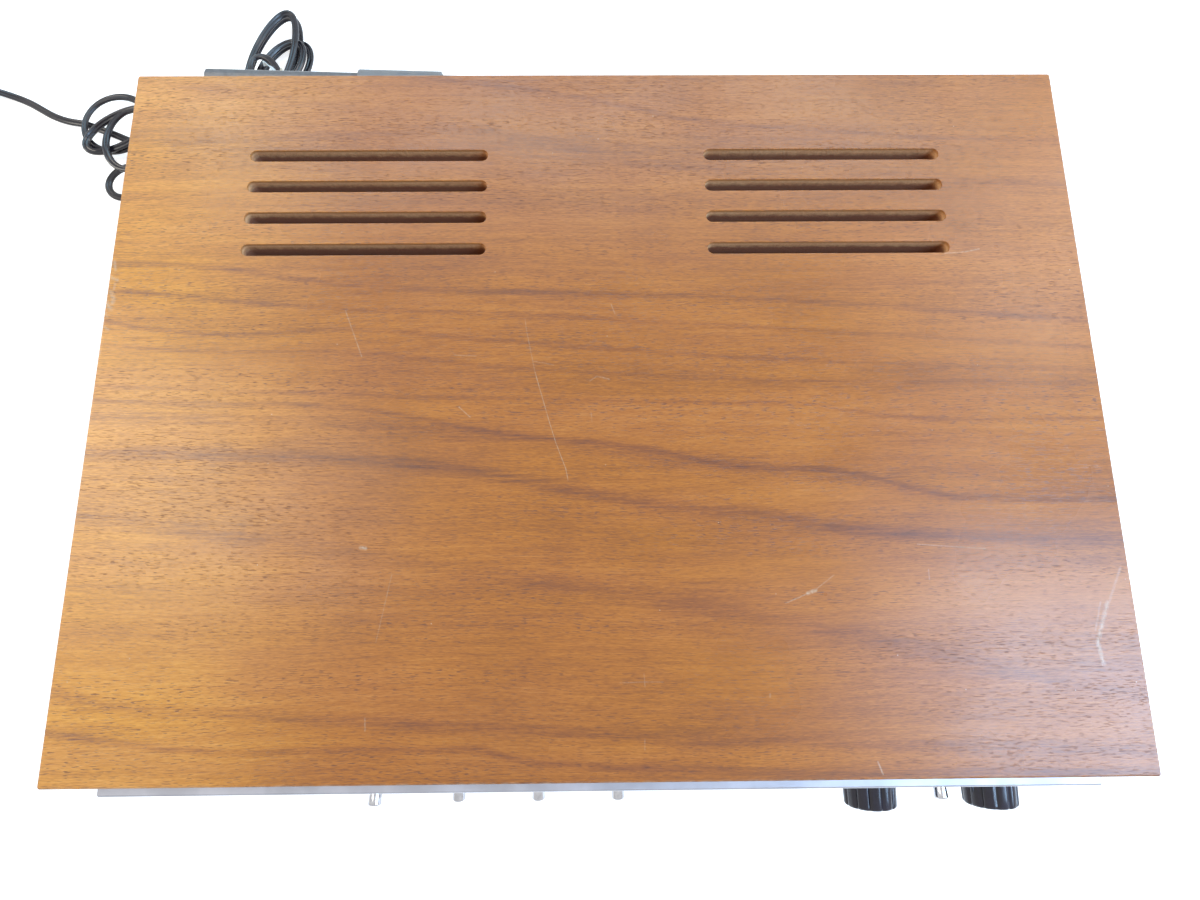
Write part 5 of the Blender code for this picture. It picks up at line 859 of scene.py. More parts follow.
FERRITE = make_plated("ground_ferrite", (0.17, 0.17, 0.175), 0.38, 0.58, 0.35, 500.0)
print(len(bpy.data.materials), "materials so far")

# %% [markdown]
# ## Plastics, rubber, paper and glass
# Moulded plastic has a faint skin: tiny clouds in its gloss and a low bump. The knobs are glossy and a little worn.
# The lead's jacket is softer and greyer where it has been rubbed.

# %% Plastics and the rest
def make_moulded(name, colour, rough_low, rough_high, grain, depth, fleck, share):
    """Plastic whose gloss and tone shift a little, with a fine low grain."""
    material, place, shader = new_finish(name, colour, 0.4)
    fill(shader, {"Roughness": clouds(place, grain / 12, rough_low, rough_high)})
    fill(shader, {"Base Color": tint(clouds(place, grain / 5, 0.0, share), colour, fleck)})
    bump(shader, cloud(place, grain, 2.0, 0.6), depth, 0.5)
    return material


def make_dial_glass():
    """Smoked glass. Its tint is plain, and only the gloss shifts with the wipe marks on it."""
    material, place, shader = new_finish("dial_window_glass", (0.74, 0.77, 0.80), 0.05)
    fill(shader, {"Transmission Weight": 1.0, "IOR": 1.5, "Roughness": clouds(place, 25.0, 0.02, 0.07)})
    return material


KNOB_BLACK = make_moulded("knob_black", (0.012, 0.010, 0.020), 0.09, 0.20, 700.0, 0.000006, (0.026, 0.020, 0.042), 0.6)
BLACK_MATTE = make_moulded("black_moulding", (0.024, 0.024, 0.026), 0.45, 0.65, 900.0, 0.00003, (0.05, 0.05, 0.05), 0.5)
CORD_BLACK = make_moulded("cord_jacket", (0.012, 0.010, 0.014), 0.19, 0.34, 500.0, 0.00004, (0.027, 0.023, 0.030), 0.7)
RUBBER = make_moulded("foot_rubber", (0.028, 0.028, 0.028), 0.70, 0.90, 600.0, 0.00008, (0.07, 0.07, 0.07), 0.5)
CREAM = make_moulded("cream_plastic", (0.76, 0.72, 0.60), 0.35, 0.55, 600.0, 0.00002, (0.66, 0.58, 0.42), 0.5)
PRINT_WHITE = make_moulded("white_print", (0.80, 0.80, 0.77), 0.45, 0.60, 900.0, 0.00001, (0.66, 0.66, 0.60), 0.4)
PRINT_DARK = make_moulded("dark_print", (0.030, 0.030, 0.034), 0.45, 0.60, 900.0, 0.00001, (0.06, 0.06, 0.06), 0.4)
PRINT_DIAL = make_moulded("dial_print", (0.72, 0.78, 0.66), 0.45, 0.60, 900.0, 0.00001, (0.55, 0.62, 0.50), 0.4)
DIAL_BLACK = make_plated("dial_black", (0.010, 0.011, 0.012), 0.42, 0.52, 0.0, 60.0)
ENAMEL = make_moulded("waxed_wire", (0.21, 0.21, 0.215), 0.35, 0.55, 700.0, 0.00001, (0.30, 0.27, 0.24), 0.5)
RED = make_moulded("red_plastic", (0.62, 0.045, 0.030), 0.30, 0.45, 900.0, 0.00001, (0.45, 0.03, 0.02), 0.4)
PHENOLIC = make_moulded("brown_laminate", (0.38, 0.22, 0.09), 0.40, 0.60, 300.0, 0.00002, (0.25, 0.13, 0.05), 0.7)
PAPER = make_moulded("paper_tie", (0.86, 0.86, 0.80), 0.60, 0.80, 400.0, 0.00005, (0.66, 0.68, 0.60), 0.5)
DIAL_GLASS = make_dial_glass()
print(len(bpy.data.materials), "materials")

# %% [markdown]
# ## The lead itself
# It is a flat twin: two round cores side by side under one jacket, with a groove along each face. The outline is
# two arcs that meet in the grooves. It is carried along the route with a slow roll, so that it lies flat on the
# table and tips a little in the hank, as a stiffish flat lead does.

# %% Mains lead
TWIN_WIDTH, TWIN_THICK, TWIN_POINTS = 0.0048, 0.0027, 9
ROLL, ROLL_FADE = radians(16.0), 0.03
ROLL_WAVES = [(1.0, 0.190), (0.4, 0.083)]


def twin_outline():
    """Two circles of radius t / 2 whose middles are w - t apart, each without the part beyond the shared plane."""
    radius, offset = TWIN_THICK / 2, (TWIN_WIDTH - TWIN_THICK) / 2
    open_angle = acos(offset / radius)
    angle = np.linspace(open_angle - pi, pi - open_angle, TWIN_POINTS)
    right = np.column_stack([offset + radius * np.cos(angle), radius * np.sin(angle)])
    return np.vstack([right, -right])


def rings_along(line, outline, across, up):
    """Rings of an outline on a line. Its first number goes along the across vectors and its second along up."""
    across, up = (np.broadcast_to(vector, line.shape)[:, None] for vector in (across, up))
    return line[:, None] + outline[:, :1] * across + outline[:, 1:] * up


def swept(line, outline, roll):
    """Rings of an outline along a line. Across is level and square to the line, then turned by the roll."""
    ahead = np.gradient(line, axis=0)
    ahead /= np.linalg.norm(ahead, axis=1)[:, None]
    side = np.cross(ahead, (0.0, 0.0, 1.0))
    side /= np.linalg.norm(side, axis=1)[:, None]
    rise = np.cross(side, ahead)
    c, s = np.cos(roll)[:, None], np.sin(roll)[:, None]
    return rings_along(line, outline, side * c + rise * s, rise * c - side * s)


def make_lead():
    """The whole lead as one skin, with its roll eased to nothing at both ends."""
    travel = np.linspace(0.0, LEAD_LENGTH, len(route))
    ends = ease(travel / ROLL_FADE) * ease((LEAD_LENGTH - travel) / ROLL_FADE)
    roll = ROLL * ends * sum(share * np.sin(2 * pi * travel / wave) for share, wave in ROLL_WAVES)
    return solid("mains_lead", closed(swept(route, twin_outline(), roll)), CORD_BLACK, "receiver", "cord_black",
                 "lead_near", "lead_hank", "lead_loops", "lead_far")


lead = make_lead()
print("lead:", len(lead.data.vertices), "points")

# %% [markdown]
# ## Plug and tie
# The plug is a moulded body that swells from the cord to a flat face, with two flat blades. The hank is held by a
# strip of white paper over a wire: a band goes round the cords, and its two ends are twisted and stand up.
# An ear is (name, side, reach, droop of its end).

# %% Plug and tie
PLUG_LENGTH, PLUG_WIDTH, PLUG_LEVELS, PLUG_CORNER = 0.0300, 0.0240, 22, 3.6
PLUG_TURN = radians(170.0)
RIDGES, RIDGE = 7, 0.0005
BLADE_LONG, BLADE_TALL, BLADE_THICK, BLADE_SUNK, BLADE_GAP = 0.0165, 0.0063, 0.0015, 0.002, 0.0127
TIE_TURN = radians(-20.0)
TIE_WIDTH, TIE_THICK, TIE_HALF, TIE_CORNER = 0.0030, 0.0005, 0.0036, 5.0
EARS = [("tie_ear_right", 1, 0.0078, 0.0022), ("tie_ear_left", -1, 0.0072, 0.0)]
EAR_RISE, EAR_SUNK, EAR_SWAY, EAR_TWIST = 0.0086, 0.0004, 0.0012, 1.9
STRIP = np.array([(-1, -1), (1, -1), (1, 1), (-1, 1)]) / 2


def super_ring(half_width, half_height, corner, steps=32):
    """A squarish oval: x = w |cos a|^(2/n) sign(cos a), and the same for y. A larger n is squarer."""
    angle = np.linspace(0.0, 2 * pi, steps, endpoint=False)
    return np.column_stack([half * np.sign(wave) * np.abs(wave) ** (2 / corner) for half, wave in
                            ((half_width, np.cos(angle)), (half_height, np.sin(angle)))])


def make_plug():
    """Body with grip ridges near the cord, and two blades."""
    share = np.linspace(0.0, 1.0, PLUG_LEVELS)
    swell = ease(share / 0.55)
    ridges = RIDGE * np.sin(2 * pi * share * RIDGES) * (share < 0.5)
    tail = np.minimum(1.0, 0.55 + 8 * share) * np.minimum(1.0, 0.80 + 4 * (1 - share))
    half_width = (PLUG_WIDTH / 2 * (0.42 + 0.58 * swell) + ridges) * tail
    half_height = (PLUG_HEIGHT / 2 - 2 * TABLE_GAP) * (0.62 + 0.38 * swell) * tail
    rings = np.array([np.insert(super_ring(width, height, PLUG_CORNER), 0, x, axis=1)
                      for width, height, x in zip(half_width, half_height, share * PLUG_LENGTH)])
    place = at(PLUG_REAR, (PLUG_TURN, "Z"))
    body = solid("plug_body", closed(carried(rings, place)), BLACK_MATTE, "receiver", "black_matte", "mains_plug")
    blades = [block((PLUG_LENGTH - BLADE_SUNK, middle - BLADE_THICK / 2, -BLADE_TALL / 2),
                    (PLUG_LENGTH + BLADE_LONG, middle + BLADE_THICK / 2, BLADE_TALL / 2), place)
              for middle in (-BLADE_GAP / 2, BLADE_GAP / 2)]
    return body, solid("plug_blades", joined(blades), BRASS, "receiver", "brass", smooth=False)


def make_tie():
    """A band round the cords and two twisted ears. The band is an oval in the plane square to the cords."""
    top = HANK_TURNS["lift"] + TABLE_GAP + 2 * CORD_RADIUS + LEVEL * (len(HANK_LOOPS) - 1) + FIT
    across, ahead, up = np.array(Matrix.Rotation(TIE_TURN, 3, "Z").transposed())
    hub = np.array((*HANK_HUB, 0.0))
    ring = super_ring(TIE_HALF, (top - FIT) / 2, TIE_CORNER, 48)
    line = hub + ring[:, :1] * across + (ring[:, 1:] + (top + FIT) / 2) * up
    outward = np.cross(np.gradient(line, axis=0), ahead)
    outward /= np.linalg.norm(outward, axis=1)[:, None]
    band = closed(rings_along(line, STRIP, TIE_WIDTH * ahead, TIE_THICK * outward), loop=True)
    pieces = [solid("tie_band", band, PAPER, "receiver", "paper", "hank_tie")]
    share = np.linspace(0.0, 1.0, 16)[:, None]
    for name, side, reach, droop in EARS:
        rise = EAR_RISE * np.sin(share * pi / 2) - droop * share**2
        path = (hub + side * reach * share * across + (top - EAR_SUNK + rise) * up
                + EAR_SWAY * np.sin(3 * share) * ahead)
        twist = side * share * EAR_TWIST
        wide = np.cos(twist) * ahead + np.sin(twist) * up
        thin = np.cross(side * across, wide)
        ear = rings_along(path, STRIP, TIE_WIDTH * (0.75 + 0.5 * share) * wide, TIE_THICK * thin)
        pieces.append(solid(name, closed(ear), PAPER, "receiver", "paper"))
    return pieces


plug = make_plug()
tie = make_tie()
gland = softened("mains_gland", BLACK_MATTE, "black_matte", 0.0003, 3)
print("with the lead:", [piece.name for piece in (*plug, *tie, gland)])

# %% [markdown]
# ## Fluted knobs
# A knob is a skin whose radius depends on two things: how far out the ring is, and where round it a point lies.
# Round the knob, r = radius - depth * (1 - |sin(n a / 2)|)^2 gives n round lobes with narrow grooves between them.
# A knob is (name, body, x, z, (radius, length), phase of its lobes, angle of its index line).

# %% Knobs
FLUTES = 12
KNOB_SIDES = 216
KNOB_GAP, SKIRT, SKIRT_HEIGHT, CHAMFER, TAPER, DISH, GROOVE = 0.0006, 0.0013, 0.0016, 0.0016, 0.0004, 0.0006, 0.0010
SKIRT_EDGE, SKIRT_LIP, FILLET = 0.0003, 0.0004, 0.0002
INDEX_HALF, INDEX_SINK, INDEX_RISE, INDEX_START, INDEX_MARGIN = 0.0006, 0.0001, 0.00015, 0.30, 0.0010
SHAFT_RADIUS = 0.0030
SMALL_KNOB = (0.0124, 0.0198)
LARGE_KNOB = (0.0160, 0.0175)
TUNING_KNOB = (0.0180, 0.0175)
FASCIA_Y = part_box("fascia")[0].y
FRONT_Y = CASE_LOW.y
KNOBS = [
    ("bass", "bass_dial", 0.1270, 0.0825, SMALL_KNOB, 8.5, 0.0),
    ("treble", "treble_dial", 0.1842, 0.0825, SMALL_KNOB, -14.0, 0.0),
    ("speaker", "speaker_dial", -0.1680, 0.0420, LARGE_KNOB, 0.0, -45.0),
    ("balance", "balance_dial", -0.0720, 0.0420, SMALL_KNOB, 0.0, 0.0),
    ("volume", "volume_dial", -0.0060, 0.0420, LARGE_KNOB, 0.0, -60.0),
    ("selector", "selector_dial", 0.0640, 0.0420, LARGE_KNOB, 0.0, 0.0),
    ("tuning", "tuning_spindle", 0.1500, 0.0440, TUNING_KNOB, 0.0, None),
]


def knob_rings(radius, length, shaft_back, phase):
    """Levels of (radius, groove depth, height), from the back of the shaft to the dished cap."""
    skirt, skirt_top = radius + SKIRT, KNOB_GAP + SKIRT_HEIGHT
    levels = [(SHAFT_RADIUS, 0.0, -shaft_back), (SHAFT_RADIUS, 0.0, KNOB_GAP)] if shaft_back else []
    levels += [(skirt - SKIRT_EDGE, 0.0, KNOB_GAP), (skirt, 0.0, KNOB_GAP + SKIRT_EDGE),
               (skirt, 0.0, skirt_top - SKIRT_LIP), (skirt - SKIRT_LIP, 0.0, skirt_top),
               (radius + FILLET, GROOVE, skirt_top), (radius, GROOVE, skirt_top + SKIRT_EDGE)]
    levels += [(radius - TAPER * share, GROOVE, skirt_top + (length - CHAMFER - skirt_top) * share)
               for share in np.linspace(0.15, 1.0, 5)]
    levels += [(radius - TAPER - CHAMFER * (1 - cos(angle)), GROOVE * (1 - 0.5 * sin(angle)),
                length - CHAMFER * (1 - sin(angle))) for angle in np.linspace(0.0, pi / 2, 6)[1:]]
    inner = radius - TAPER - 2 * CHAMFER
    levels += [(inner + SKIRT_EDGE, 0.0, length), (inner - SKIRT_EDGE, 0.0, length - DISH),
               (inner * 0.5, 0.0, length - DISH)]
    reach, depth, height = np.array(levels).T[..., None]
    angle = np.linspace(0.0, 2 * pi, KNOB_SIDES, endpoint=False)
    r = reach - depth * (1 - np.abs(np.sin(FLUTES * (angle + radians(phase)) / 2))) ** 2
    return np.stack([r * np.cos(angle), np.repeat(-height, KNOB_SIDES, axis=1), r * np.sin(angle)], axis=-1)


def make_knob(name, body, x, z, size, phase, index):
    """The knob on its axis, and the white line on its cap where it has one."""
    plain = index is None
    shaft_back = 0.0 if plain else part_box(f"{name}_knob")[1].y - FASCIA_Y
    rings = knob_rings(*size, shaft_back, phase) + (x, FASCIA_Y, z)
    solid(f"{name}_knob_fluted", closed(rings), KNOB_BLACK, body, "black_gloss", f"{name}_knob")
    if not plain:
        radius, length = size
        place = at((x, FASCIA_Y - length + DISH, z), (radians(index), "Y"))
        line = block((-INDEX_HALF, -INDEX_RISE, radius * INDEX_START),
                     (INDEX_HALF, INDEX_SINK, radius - TAPER - 2 * CHAMFER - INDEX_MARGIN), place)
        solid(f"{name}_index", line, PRINT_WHITE, body, "paper", smooth=False)


for knob in KNOBS:
    make_knob(*knob)
print(len(KNOBS), "knobs with", FLUTES, "lobes each")

# %% [markdown]
# ## Bat levers
# A bat lever is turned steel under chrome: a ball in its pivot, a thin neck, and a long flare to a round tip.
# A lever is (name, x, up or down).

# %% Levers
LEVER_SIDES = 32
LEVER_BALL, LEVER_NECK, LEVER_TIP, LEVER_ROUND = 0.0035, 0.0019, 0.0031, 0.0009
LEVER_PIVOT, LEVER_REACH = 0.0040, 0.0234
LEVER_LENGTH = LEVER_PIVOT + LEVER_REACH
LEVER_Z = 0.0825
LEVER_THROW = radians(8.0)
LEVERS = [("muting", -0.1061, 1), ("loudness", -0.0682, -1), ("monitor", -0.0303, -1), ("mode", 0.0076, -1),
          ("filter", 0.1593, 1)]


def make_lever(name, x, side):
    """Ball, neck and flare as one profile, tipped up or down about its pivot."""
    rise = asin(LEVER_NECK / LEVER_BALL)
    profile = [(LEVER_BALL * sin(a), LEVER_BALL * cos(a)) for a in np.linspace(pi - 0.15, rise, 10)]
    start, end = LEVER_BALL * cos(rise), LEVER_LENGTH - LEVER_ROUND
    profile += [(LEVER_NECK + (LEVER_TIP - LEVER_NECK) * share, start + (end - start) * share)
                for share in np.linspace(0.1, 1.0, 9)]
    profile += [(LEVER_TIP - LEVER_ROUND * (1 - cos(a)), end + LEVER_ROUND * sin(a))
                for a in np.linspace(0.3, pi / 2, 5)]
    place = at((x, FRONT_Y + LEVER_PIVOT, LEVER_Z), (pi / 2 - side * LEVER_THROW, "X"))
    bat = closed(carried(turned(profile, LEVER_SIDES), place))
    solid(f"{name}_bat", bat, CHROME, f"{name}_toggle", "chrome", f"{name}_lever")


for lever in LEVERS:
    make_lever(*lever)
print(len(LEVERS), "levers of", round(1000 * LEVER_LENGTH, 1), "mm")

# %% [markdown]
# ## Panel, dial and meter
# The panel is brushed aluminium with a duller milled edge, which is the grey line that the photograph shows under
# the wood. Its marks are printed: thin bars round the knobs, and plain numbers. They are made as very thin solids,
# so that they stay in the exported meshes.

# %% Panel
MARK_RISE, MARK_WIDTH, MARK_GAP, MARK_LENGTH = 0.00006, 0.00055, 0.0005, 0.0017
VOLUME_REACH, VOLUME_SIZE = 0.0035, 0.0029
PANEL_LOW, PANEL_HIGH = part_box("fascia")
WINDOW = (-0.185, 0.185, 0.0985, 0.1265)
BEZEL, BEZEL_FRONT, BEZEL_BACK = 0.0009, 0.0003, 0.0002
MILLED, MILLED_TILT = 0.0003, 0.8
KNOB_MARKS = dict.fromkeys(("bass", "treble", "balance", "volume"), range(-150, 151, 30))
KNOB_MARKS.update(speaker=range(-45, 46, 30), selector=range(-60, 61, 30))


def bars_round(x, y, z, radius, length, degrees, width=MARK_WIDTH):
    """Short bars that point at an axis, each turned about it."""
    return [block((-width / 2, -MARK_RISE, radius), (width / 2, MARK_RISE, radius + length),
                  at((x, y, z), (radians(angle), "Y"))) for angle in degrees]


def mesh_points(mesh):
    """The points of a mesh as an array."""
    points = np.empty(3 * len(mesh.vertices))
    mesh.vertices.foreach_get("co", points)
    return points.reshape(-1, 3)


def figures(number, size, x, y, z):
    """A plain number as a flat solid that faces the front. The text becomes a mesh before it is placed."""
    curve = bpy.data.curves.new("figures", "FONT")
    curve.body, curve.size, curve.extrude, curve.resolution_u = str(number), size, MARK_RISE, 2
    curve.offset = 0.018 * size
    curve.align_x = curve.align_y = "CENTER"
    holder = bpy.data.objects.new("figures", curve)
    mesh = bpy.data.meshes.new_from_object(holder)
    shape = carried(mesh_points(mesh), at((x, y, z), (pi / 2, "X"))), [tuple(face.vertices) for face in mesh.polygons]
    bpy.data.objects.remove(holder)
    bpy.data.curves.remove(curve)
    bpy.data.meshes.remove(mesh)
    return shape


def figures_round(x, y, z, reach, size, degrees):
    """The numbers from 0 up round an axis."""
    return [figures(number, size, x + reach * sin(turn), y, z + reach * cos(turn))
            for number, turn in enumerate(np.radians(degrees))]


def printed(name, parts, material, slot="paper"):
    """Marks joined into one piece of the receiver."""
    solid(name, joined(parts), material, "receiver", slot, smooth=False)


def finish_panel():
    """The panel with a fine bevel, the milled metal on its outer edges alone, and a thin frame in its window."""
    piece = softened("fascia", FASCIA_METAL, "aluminium", 0.0002)
    piece.data.materials.append(FASCIA_EDGE)
    for face in piece.data.polygons:
        inset = min(PANEL_HIGH.z - face.center.z, face.center.z - PANEL_LOW.z, PANEL_HIGH.x - abs(face.center.x))
        face.material_index = int(inset < MILLED and abs(face.normal.y) < MILLED_TILT)
    rings = []
    for grow, y in ((BEZEL, BEZEL_BACK), (BEZEL, -BEZEL_FRONT), (0.0, -BEZEL_FRONT), (0.0, BEZEL_BACK)):
        left, right, low, high = np.array(WINDOW) + (-grow, grow, -grow, grow)
        rings.append([(x, FASCIA_Y + y, z) for x, z in ((left, low), (right, low), (right, high), (left, high))])
    solid("window_bezel", closed(rings, loop=True), BLACK_MATTE, "receiver", "black_matte")


finish_panel()
marks = []
for name, _, x, z, (radius, _), _, _ in KNOBS:
    start = radius + SKIRT + MARK_GAP
    marks += bars_round(x, FASCIA_Y, z, start, MARK_LENGTH, KNOB_MARKS.get(name, ()))
    if name == "volume":
        marks += figures_round(x, FASCIA_Y, z, start + VOLUME_REACH, VOLUME_SIZE, KNOB_MARKS[name])
printed("panel_marks", marks, PRINT_DARK, "black_matte")
print("panel marks:", len(marks))

# %% [markdown]
# ### Scales
# A dial pointer moves evenly with the cord, so the upper scale is even, and so is the fine scale of 50 steps below
# it. The lowest one is spaced by the logarithm of its number, which is how a capacitor with shaped vanes spreads
# that band. A pair of lengths is for the long and the short bars.

# %% Dial and meter scales
DIAL_FACE = FRONT_Y + 0.0026
SCALE_LOW, SCALE_HIGH, SCALE_OVER = -0.0436, 0.0976, 0.003
UPPER_BAND = range(88, 109)
FINE_STEPS = 50
LOWER_BAND = (54, 60, 70, 80, 90, 100, 120, 140, 160)
UPPER_Z, MIDDLE_Z, LOWER_Z = 0.1176, 0.1132, 0.1088
UPPER_BARS, MIDDLE_BARS, LOWER_BAR = (0.0016, 0.0009), (0.0011, 0.0006), 0.0016
DIAL_SIZE, UPPER_LIFT, LOWER_DROP = 0.0044, 0.0041, 0.0042
LINE_HALF, FINE_WIDTH = 0.00012, 0.00022
METER_AXIS = (-0.1600, FASCIA_Y + 0.0111, 0.1040)
METER_RADIUS, METER_REACH, METER_SIZE, METER_SWING = 0.0168, 0.0202, 0.0028, 38.0
METER_BARS = [(6, 0.0016, 0.0003), (26, 0.0009, 0.0002)]


def on_dial(left, right, low, high):
    """A thin oblong that is printed on the dial."""
    return block((left, DIAL_FACE - MARK_RISE, low), (right, DIAL_FACE + MARK_RISE, high))


def scale_bar(x, low, high, width=MARK_WIDTH):
    """An upright bar on the dial."""
    return on_dial(x - width / 2, x + width / 2, low, high)


def along_scale(share):
    """The place of a share of the pointer's travel."""
    return SCALE_LOW + (SCALE_HIGH - SCALE_LOW) * share


parts = [on_dial(SCALE_LOW - SCALE_OVER, SCALE_HIGH + SCALE_OVER, z - LINE_HALF, z + LINE_HALF)
         for z in (UPPER_Z, MIDDLE_Z, LOWER_Z)]
for step, number in enumerate(UPPER_BAND):
    x, odd = along_scale(step / (len(UPPER_BAND) - 1)), number % 2
    parts.append(scale_bar(x, UPPER_Z, UPPER_Z + UPPER_BARS[odd]))
    if not odd:
        parts.append(figures(number, DIAL_SIZE, x, DIAL_FACE, UPPER_Z + UPPER_LIFT))
for step in range(FINE_STEPS + 1):
    parts.append(scale_bar(along_scale(step / FINE_STEPS), MIDDLE_Z - MIDDLE_BARS[step % 5 > 0], MIDDLE_Z, FINE_WIDTH))
for number in LOWER_BAND:
    x = along_scale(log(number / LOWER_BAND[0]) / log(LOWER_BAND[-1] / LOWER_BAND[0]))
    parts += [scale_bar(x, LOWER_Z - LOWER_BAR, LOWER_Z),
              figures(number, DIAL_SIZE, x, DIAL_FACE, LOWER_Z - LOWER_DROP)]
printed("dial_scales", parts, PRINT_DIAL)
print("dial scales:", len(parts), "marks")

angle = np.radians(np.linspace(-METER_SWING - 1, METER_SWING + 1, 40))[:, None]
reach = METER_RADIUS + LINE_HALF * np.array([-1, 1, 1, -1])
sheet = METER_AXIS[1] + MARK_RISE * np.array([-1, -1, 1, 1]) + 0 * angle
arc = np.stack([METER_AXIS[0] + reach * np.sin(angle), sheet, METER_AXIS[2] + reach * np.cos(angle)], axis=-1)
parts = [closed(arc)]
for count, length, width in METER_BARS:
    parts += bars_round(*METER_AXIS, METER_RADIUS, length, np.linspace(-METER_SWING, METER_SWING, count), width)
parts += figures_round(*METER_AXIS, METER_REACH, METER_SIZE, np.linspace(-METER_SWING, METER_SWING, 6))
printed("meter_scale", parts, PRINT_DARK, "black_matte")

# %% [markdown]
# ## Rear fittings
# The aerial's coil is wire wound side by side, so its skin is a turned profile of small waves. Each phono socket
# has a plated sleeve round its insulator, and each terminal a slotted screw. A slotted head is two D-shaped lumps
# on a disc, which leaves the slot between them without cutting anything.

# %% Rear fittings
PANEL_REAR = 0.15482936
REARWARD = (-pi / 2, "X")
COIL_RADIUS, WIRE = 0.0066, 0.00056
JACK_START, JACK_PITCH, JACK_COLUMNS = -0.050, 0.019, 5
SLEEVE = [(0.0031, -0.0066), (0.0042, -0.0066), (0.0042, 0.0001), (0.0031, 0.0001)]
COLLAR = [(0.0018, 0.0), (0.0030, 0.0), (0.0030, 0.00015), (0.0018, 0.00015)]
JACK_ROWS = [("phono_collars_low", 0.042, RED, "red"), ("phono_collars_high", 0.062, CREAM, "cream")]
TERMINAL_FACE = PANEL_REAR + 0.0003 + 0.0050 + 0.0012
TERMINAL_PITCH, HEAD_RADIUS, HEAD_HEIGHT, HEAD_SLOT = 0.0130, 0.0038, 0.0027, 0.16
TERMINAL_ROWS = [(0.1250, 0.0500, 8), (0.0700, 0.1000, 4)]
LUMP = [(1.0, 0.4), (1.0, 0.7), (0.93, 0.9), (0.82, 1.0)]
SCREW_RADIUS = 0.0030
DOME = [(1.0, 0.0), (1.0, 0.22), (0.92, 0.38), (0.70, 0.52), (0.36, 0.58)]
CROSS = [(0.45, 0.09), (0.09, 0.45)]
SCREWS = [(-0.199, 0.034), (-0.199, 0.122), (0.199, 0.034), (0.199, 0.122), (0.010, 0.128), (0.020, 0.030)]


def make_winding():
    """Turned waves: r = R - w/4 (1 - |sin|) for each wire. The axis is fitted to the coil of the model."""
    points = mesh_points(NODES["aerial_coil"].data)
    middle = points.mean(axis=0)
    ahead = np.linalg.svd(points - middle, full_matrices=False)[2][0]
    half = np.abs((points - middle) @ ahead).max()
    height = np.linspace(-half, half, 6 * round(2 * half / WIRE) + 1)
    radius = COIL_RADIUS - 0.25 * WIRE * (1 - np.abs(np.sin(pi * (height + half) / WIRE)))
    place = Matrix.Translation(middle) @ Vector(ahead).to_track_quat("Z", "X").to_matrix().to_4x4()
    winding = closed(carried(turned(np.column_stack([radius, height]), 40), place))
    solid("aerial_winding", winding, ENAMEL, "aerial", "cream", "aerial_coil")
    print(f"winding: {2 * half / WIRE:.0f} turns")


def slotted_head(x, z, turn):
    """A low disc with two D-shaped lumps, facing the rear."""
    place = at((x, TERMINAL_FACE, z), REARWARD, (turn, "Z"))
    slot = HEAD_SLOT * HEAD_RADIUS
    parts = [closed(carried(turned([(HEAD_RADIUS, 0.0), (HEAD_RADIUS, 0.45 * HEAD_HEIGHT)], 32), place))]
    arc = np.linspace(asin(HEAD_SLOT), pi - asin(HEAD_SLOT), 15)
    for side in (1, -1):
        rings = [np.column_stack([side * share * HEAD_RADIUS * np.cos(arc),
                                  side * np.maximum(slot, share * HEAD_RADIUS * np.sin(arc)),
                                  np.full(15, level * HEAD_HEIGHT)]) for share, level in LUMP]
        parts.append(closed(carried(np.array(rings), place)))
    return parts


make_winding()
sleeves = []
for name, z, material, slot in JACK_ROWS:
    places = [at((JACK_START + JACK_PITCH * column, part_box("phono_jacks")[1].y, z), REARWARD)
              for column in range(JACK_COLUMNS)]
    sleeves += [closed(carried(turned(SLEEVE, 36), place), loop=True) for place in places]
    printed(name, [closed(carried(turned(COLLAR, 28), place), loop=True) for place in places], material, slot)
solid("phono_sleeves", joined(sleeves), STEEL, "receiver", "steel")

heads = []
for x, z, count in TERMINAL_ROWS:
    for index in range(count):
        heads += slotted_head(x + TERMINAL_PITCH * (index + 0.5 - count / 2), z, 0.6 + 1.1 * index)
solid("terminal_screws", joined(heads), BRASS, "receiver", "brass")

domes, crosses = [], []
for x, z in SCREWS:
    place = at((x, PANEL_REAR, z), REARWARD)
    domes.append(closed(carried(turned(SCREW_RADIUS * np.array(DOME), 28), place)))
    crosses += [block((-a * SCREW_RADIUS, -b * SCREW_RADIUS, 0.5 * SCREW_RADIUS),
                      (a * SCREW_RADIUS, b * SCREW_RADIUS, 0.6 * SCREW_RADIUS), place) for a, b in CROSS]
solid("panel_screws", joined(domes), STEEL, "receiver", "steel")
printed("panel_screw_crosses", crosses, PRINT_DARK, "black_matte")
print("rear fittings:", len(sleeves), "sockets,", len(heads) // 3, "terminal screws,", len(domes), "panel screws")

# %% [markdown]
# ## Finishes for the rest of the model
# What shows only through the slots or from behind keeps the model's own mesh, or a softened copy of it.

# %% Remaining nodes
coat(ALUMINIUM, "capacitor_frame", "capacitor_rotor", "filter_capacitor_left", "filter_capacitor_right")
coat(STEEL, "chassis", "lever_switch_bank", "bass_control", "treble_control", "speaker_switch", "balance_control",
     "volume_control", "selector_switch")
coat(BRASS, "tuning_shaft", "tuning_flywheel")
coat(BLACK_IRON, "power_transformer")
coat(BLACK_ANODISED, "heat_sink")
coat(PHENOLIC, "main_board")
coat(CREAM, "dial_drum", "signal_meter")
coat(DIAL_GLASS, "dial_glass")
coat(DIAL_BLACK, "dial_plate")
coat(RED, "dial_pointer", "meter_needle")
softened("rear_panel", STEEL, "steel")
for node in ("foot_front_left", "foot_front_right", "foot_rear_left", "foot_rear_right"):
    softened(node, RUBBER, "rubber")
for node in ("speaker_terminals", "antenna_terminals", "ac_outlets", "aerial_arm"):
    softened(node, BLACK_MATTE, "black_matte", 0.0002)
softened("phones_jack", BLACK_MATTE, "black_matte")
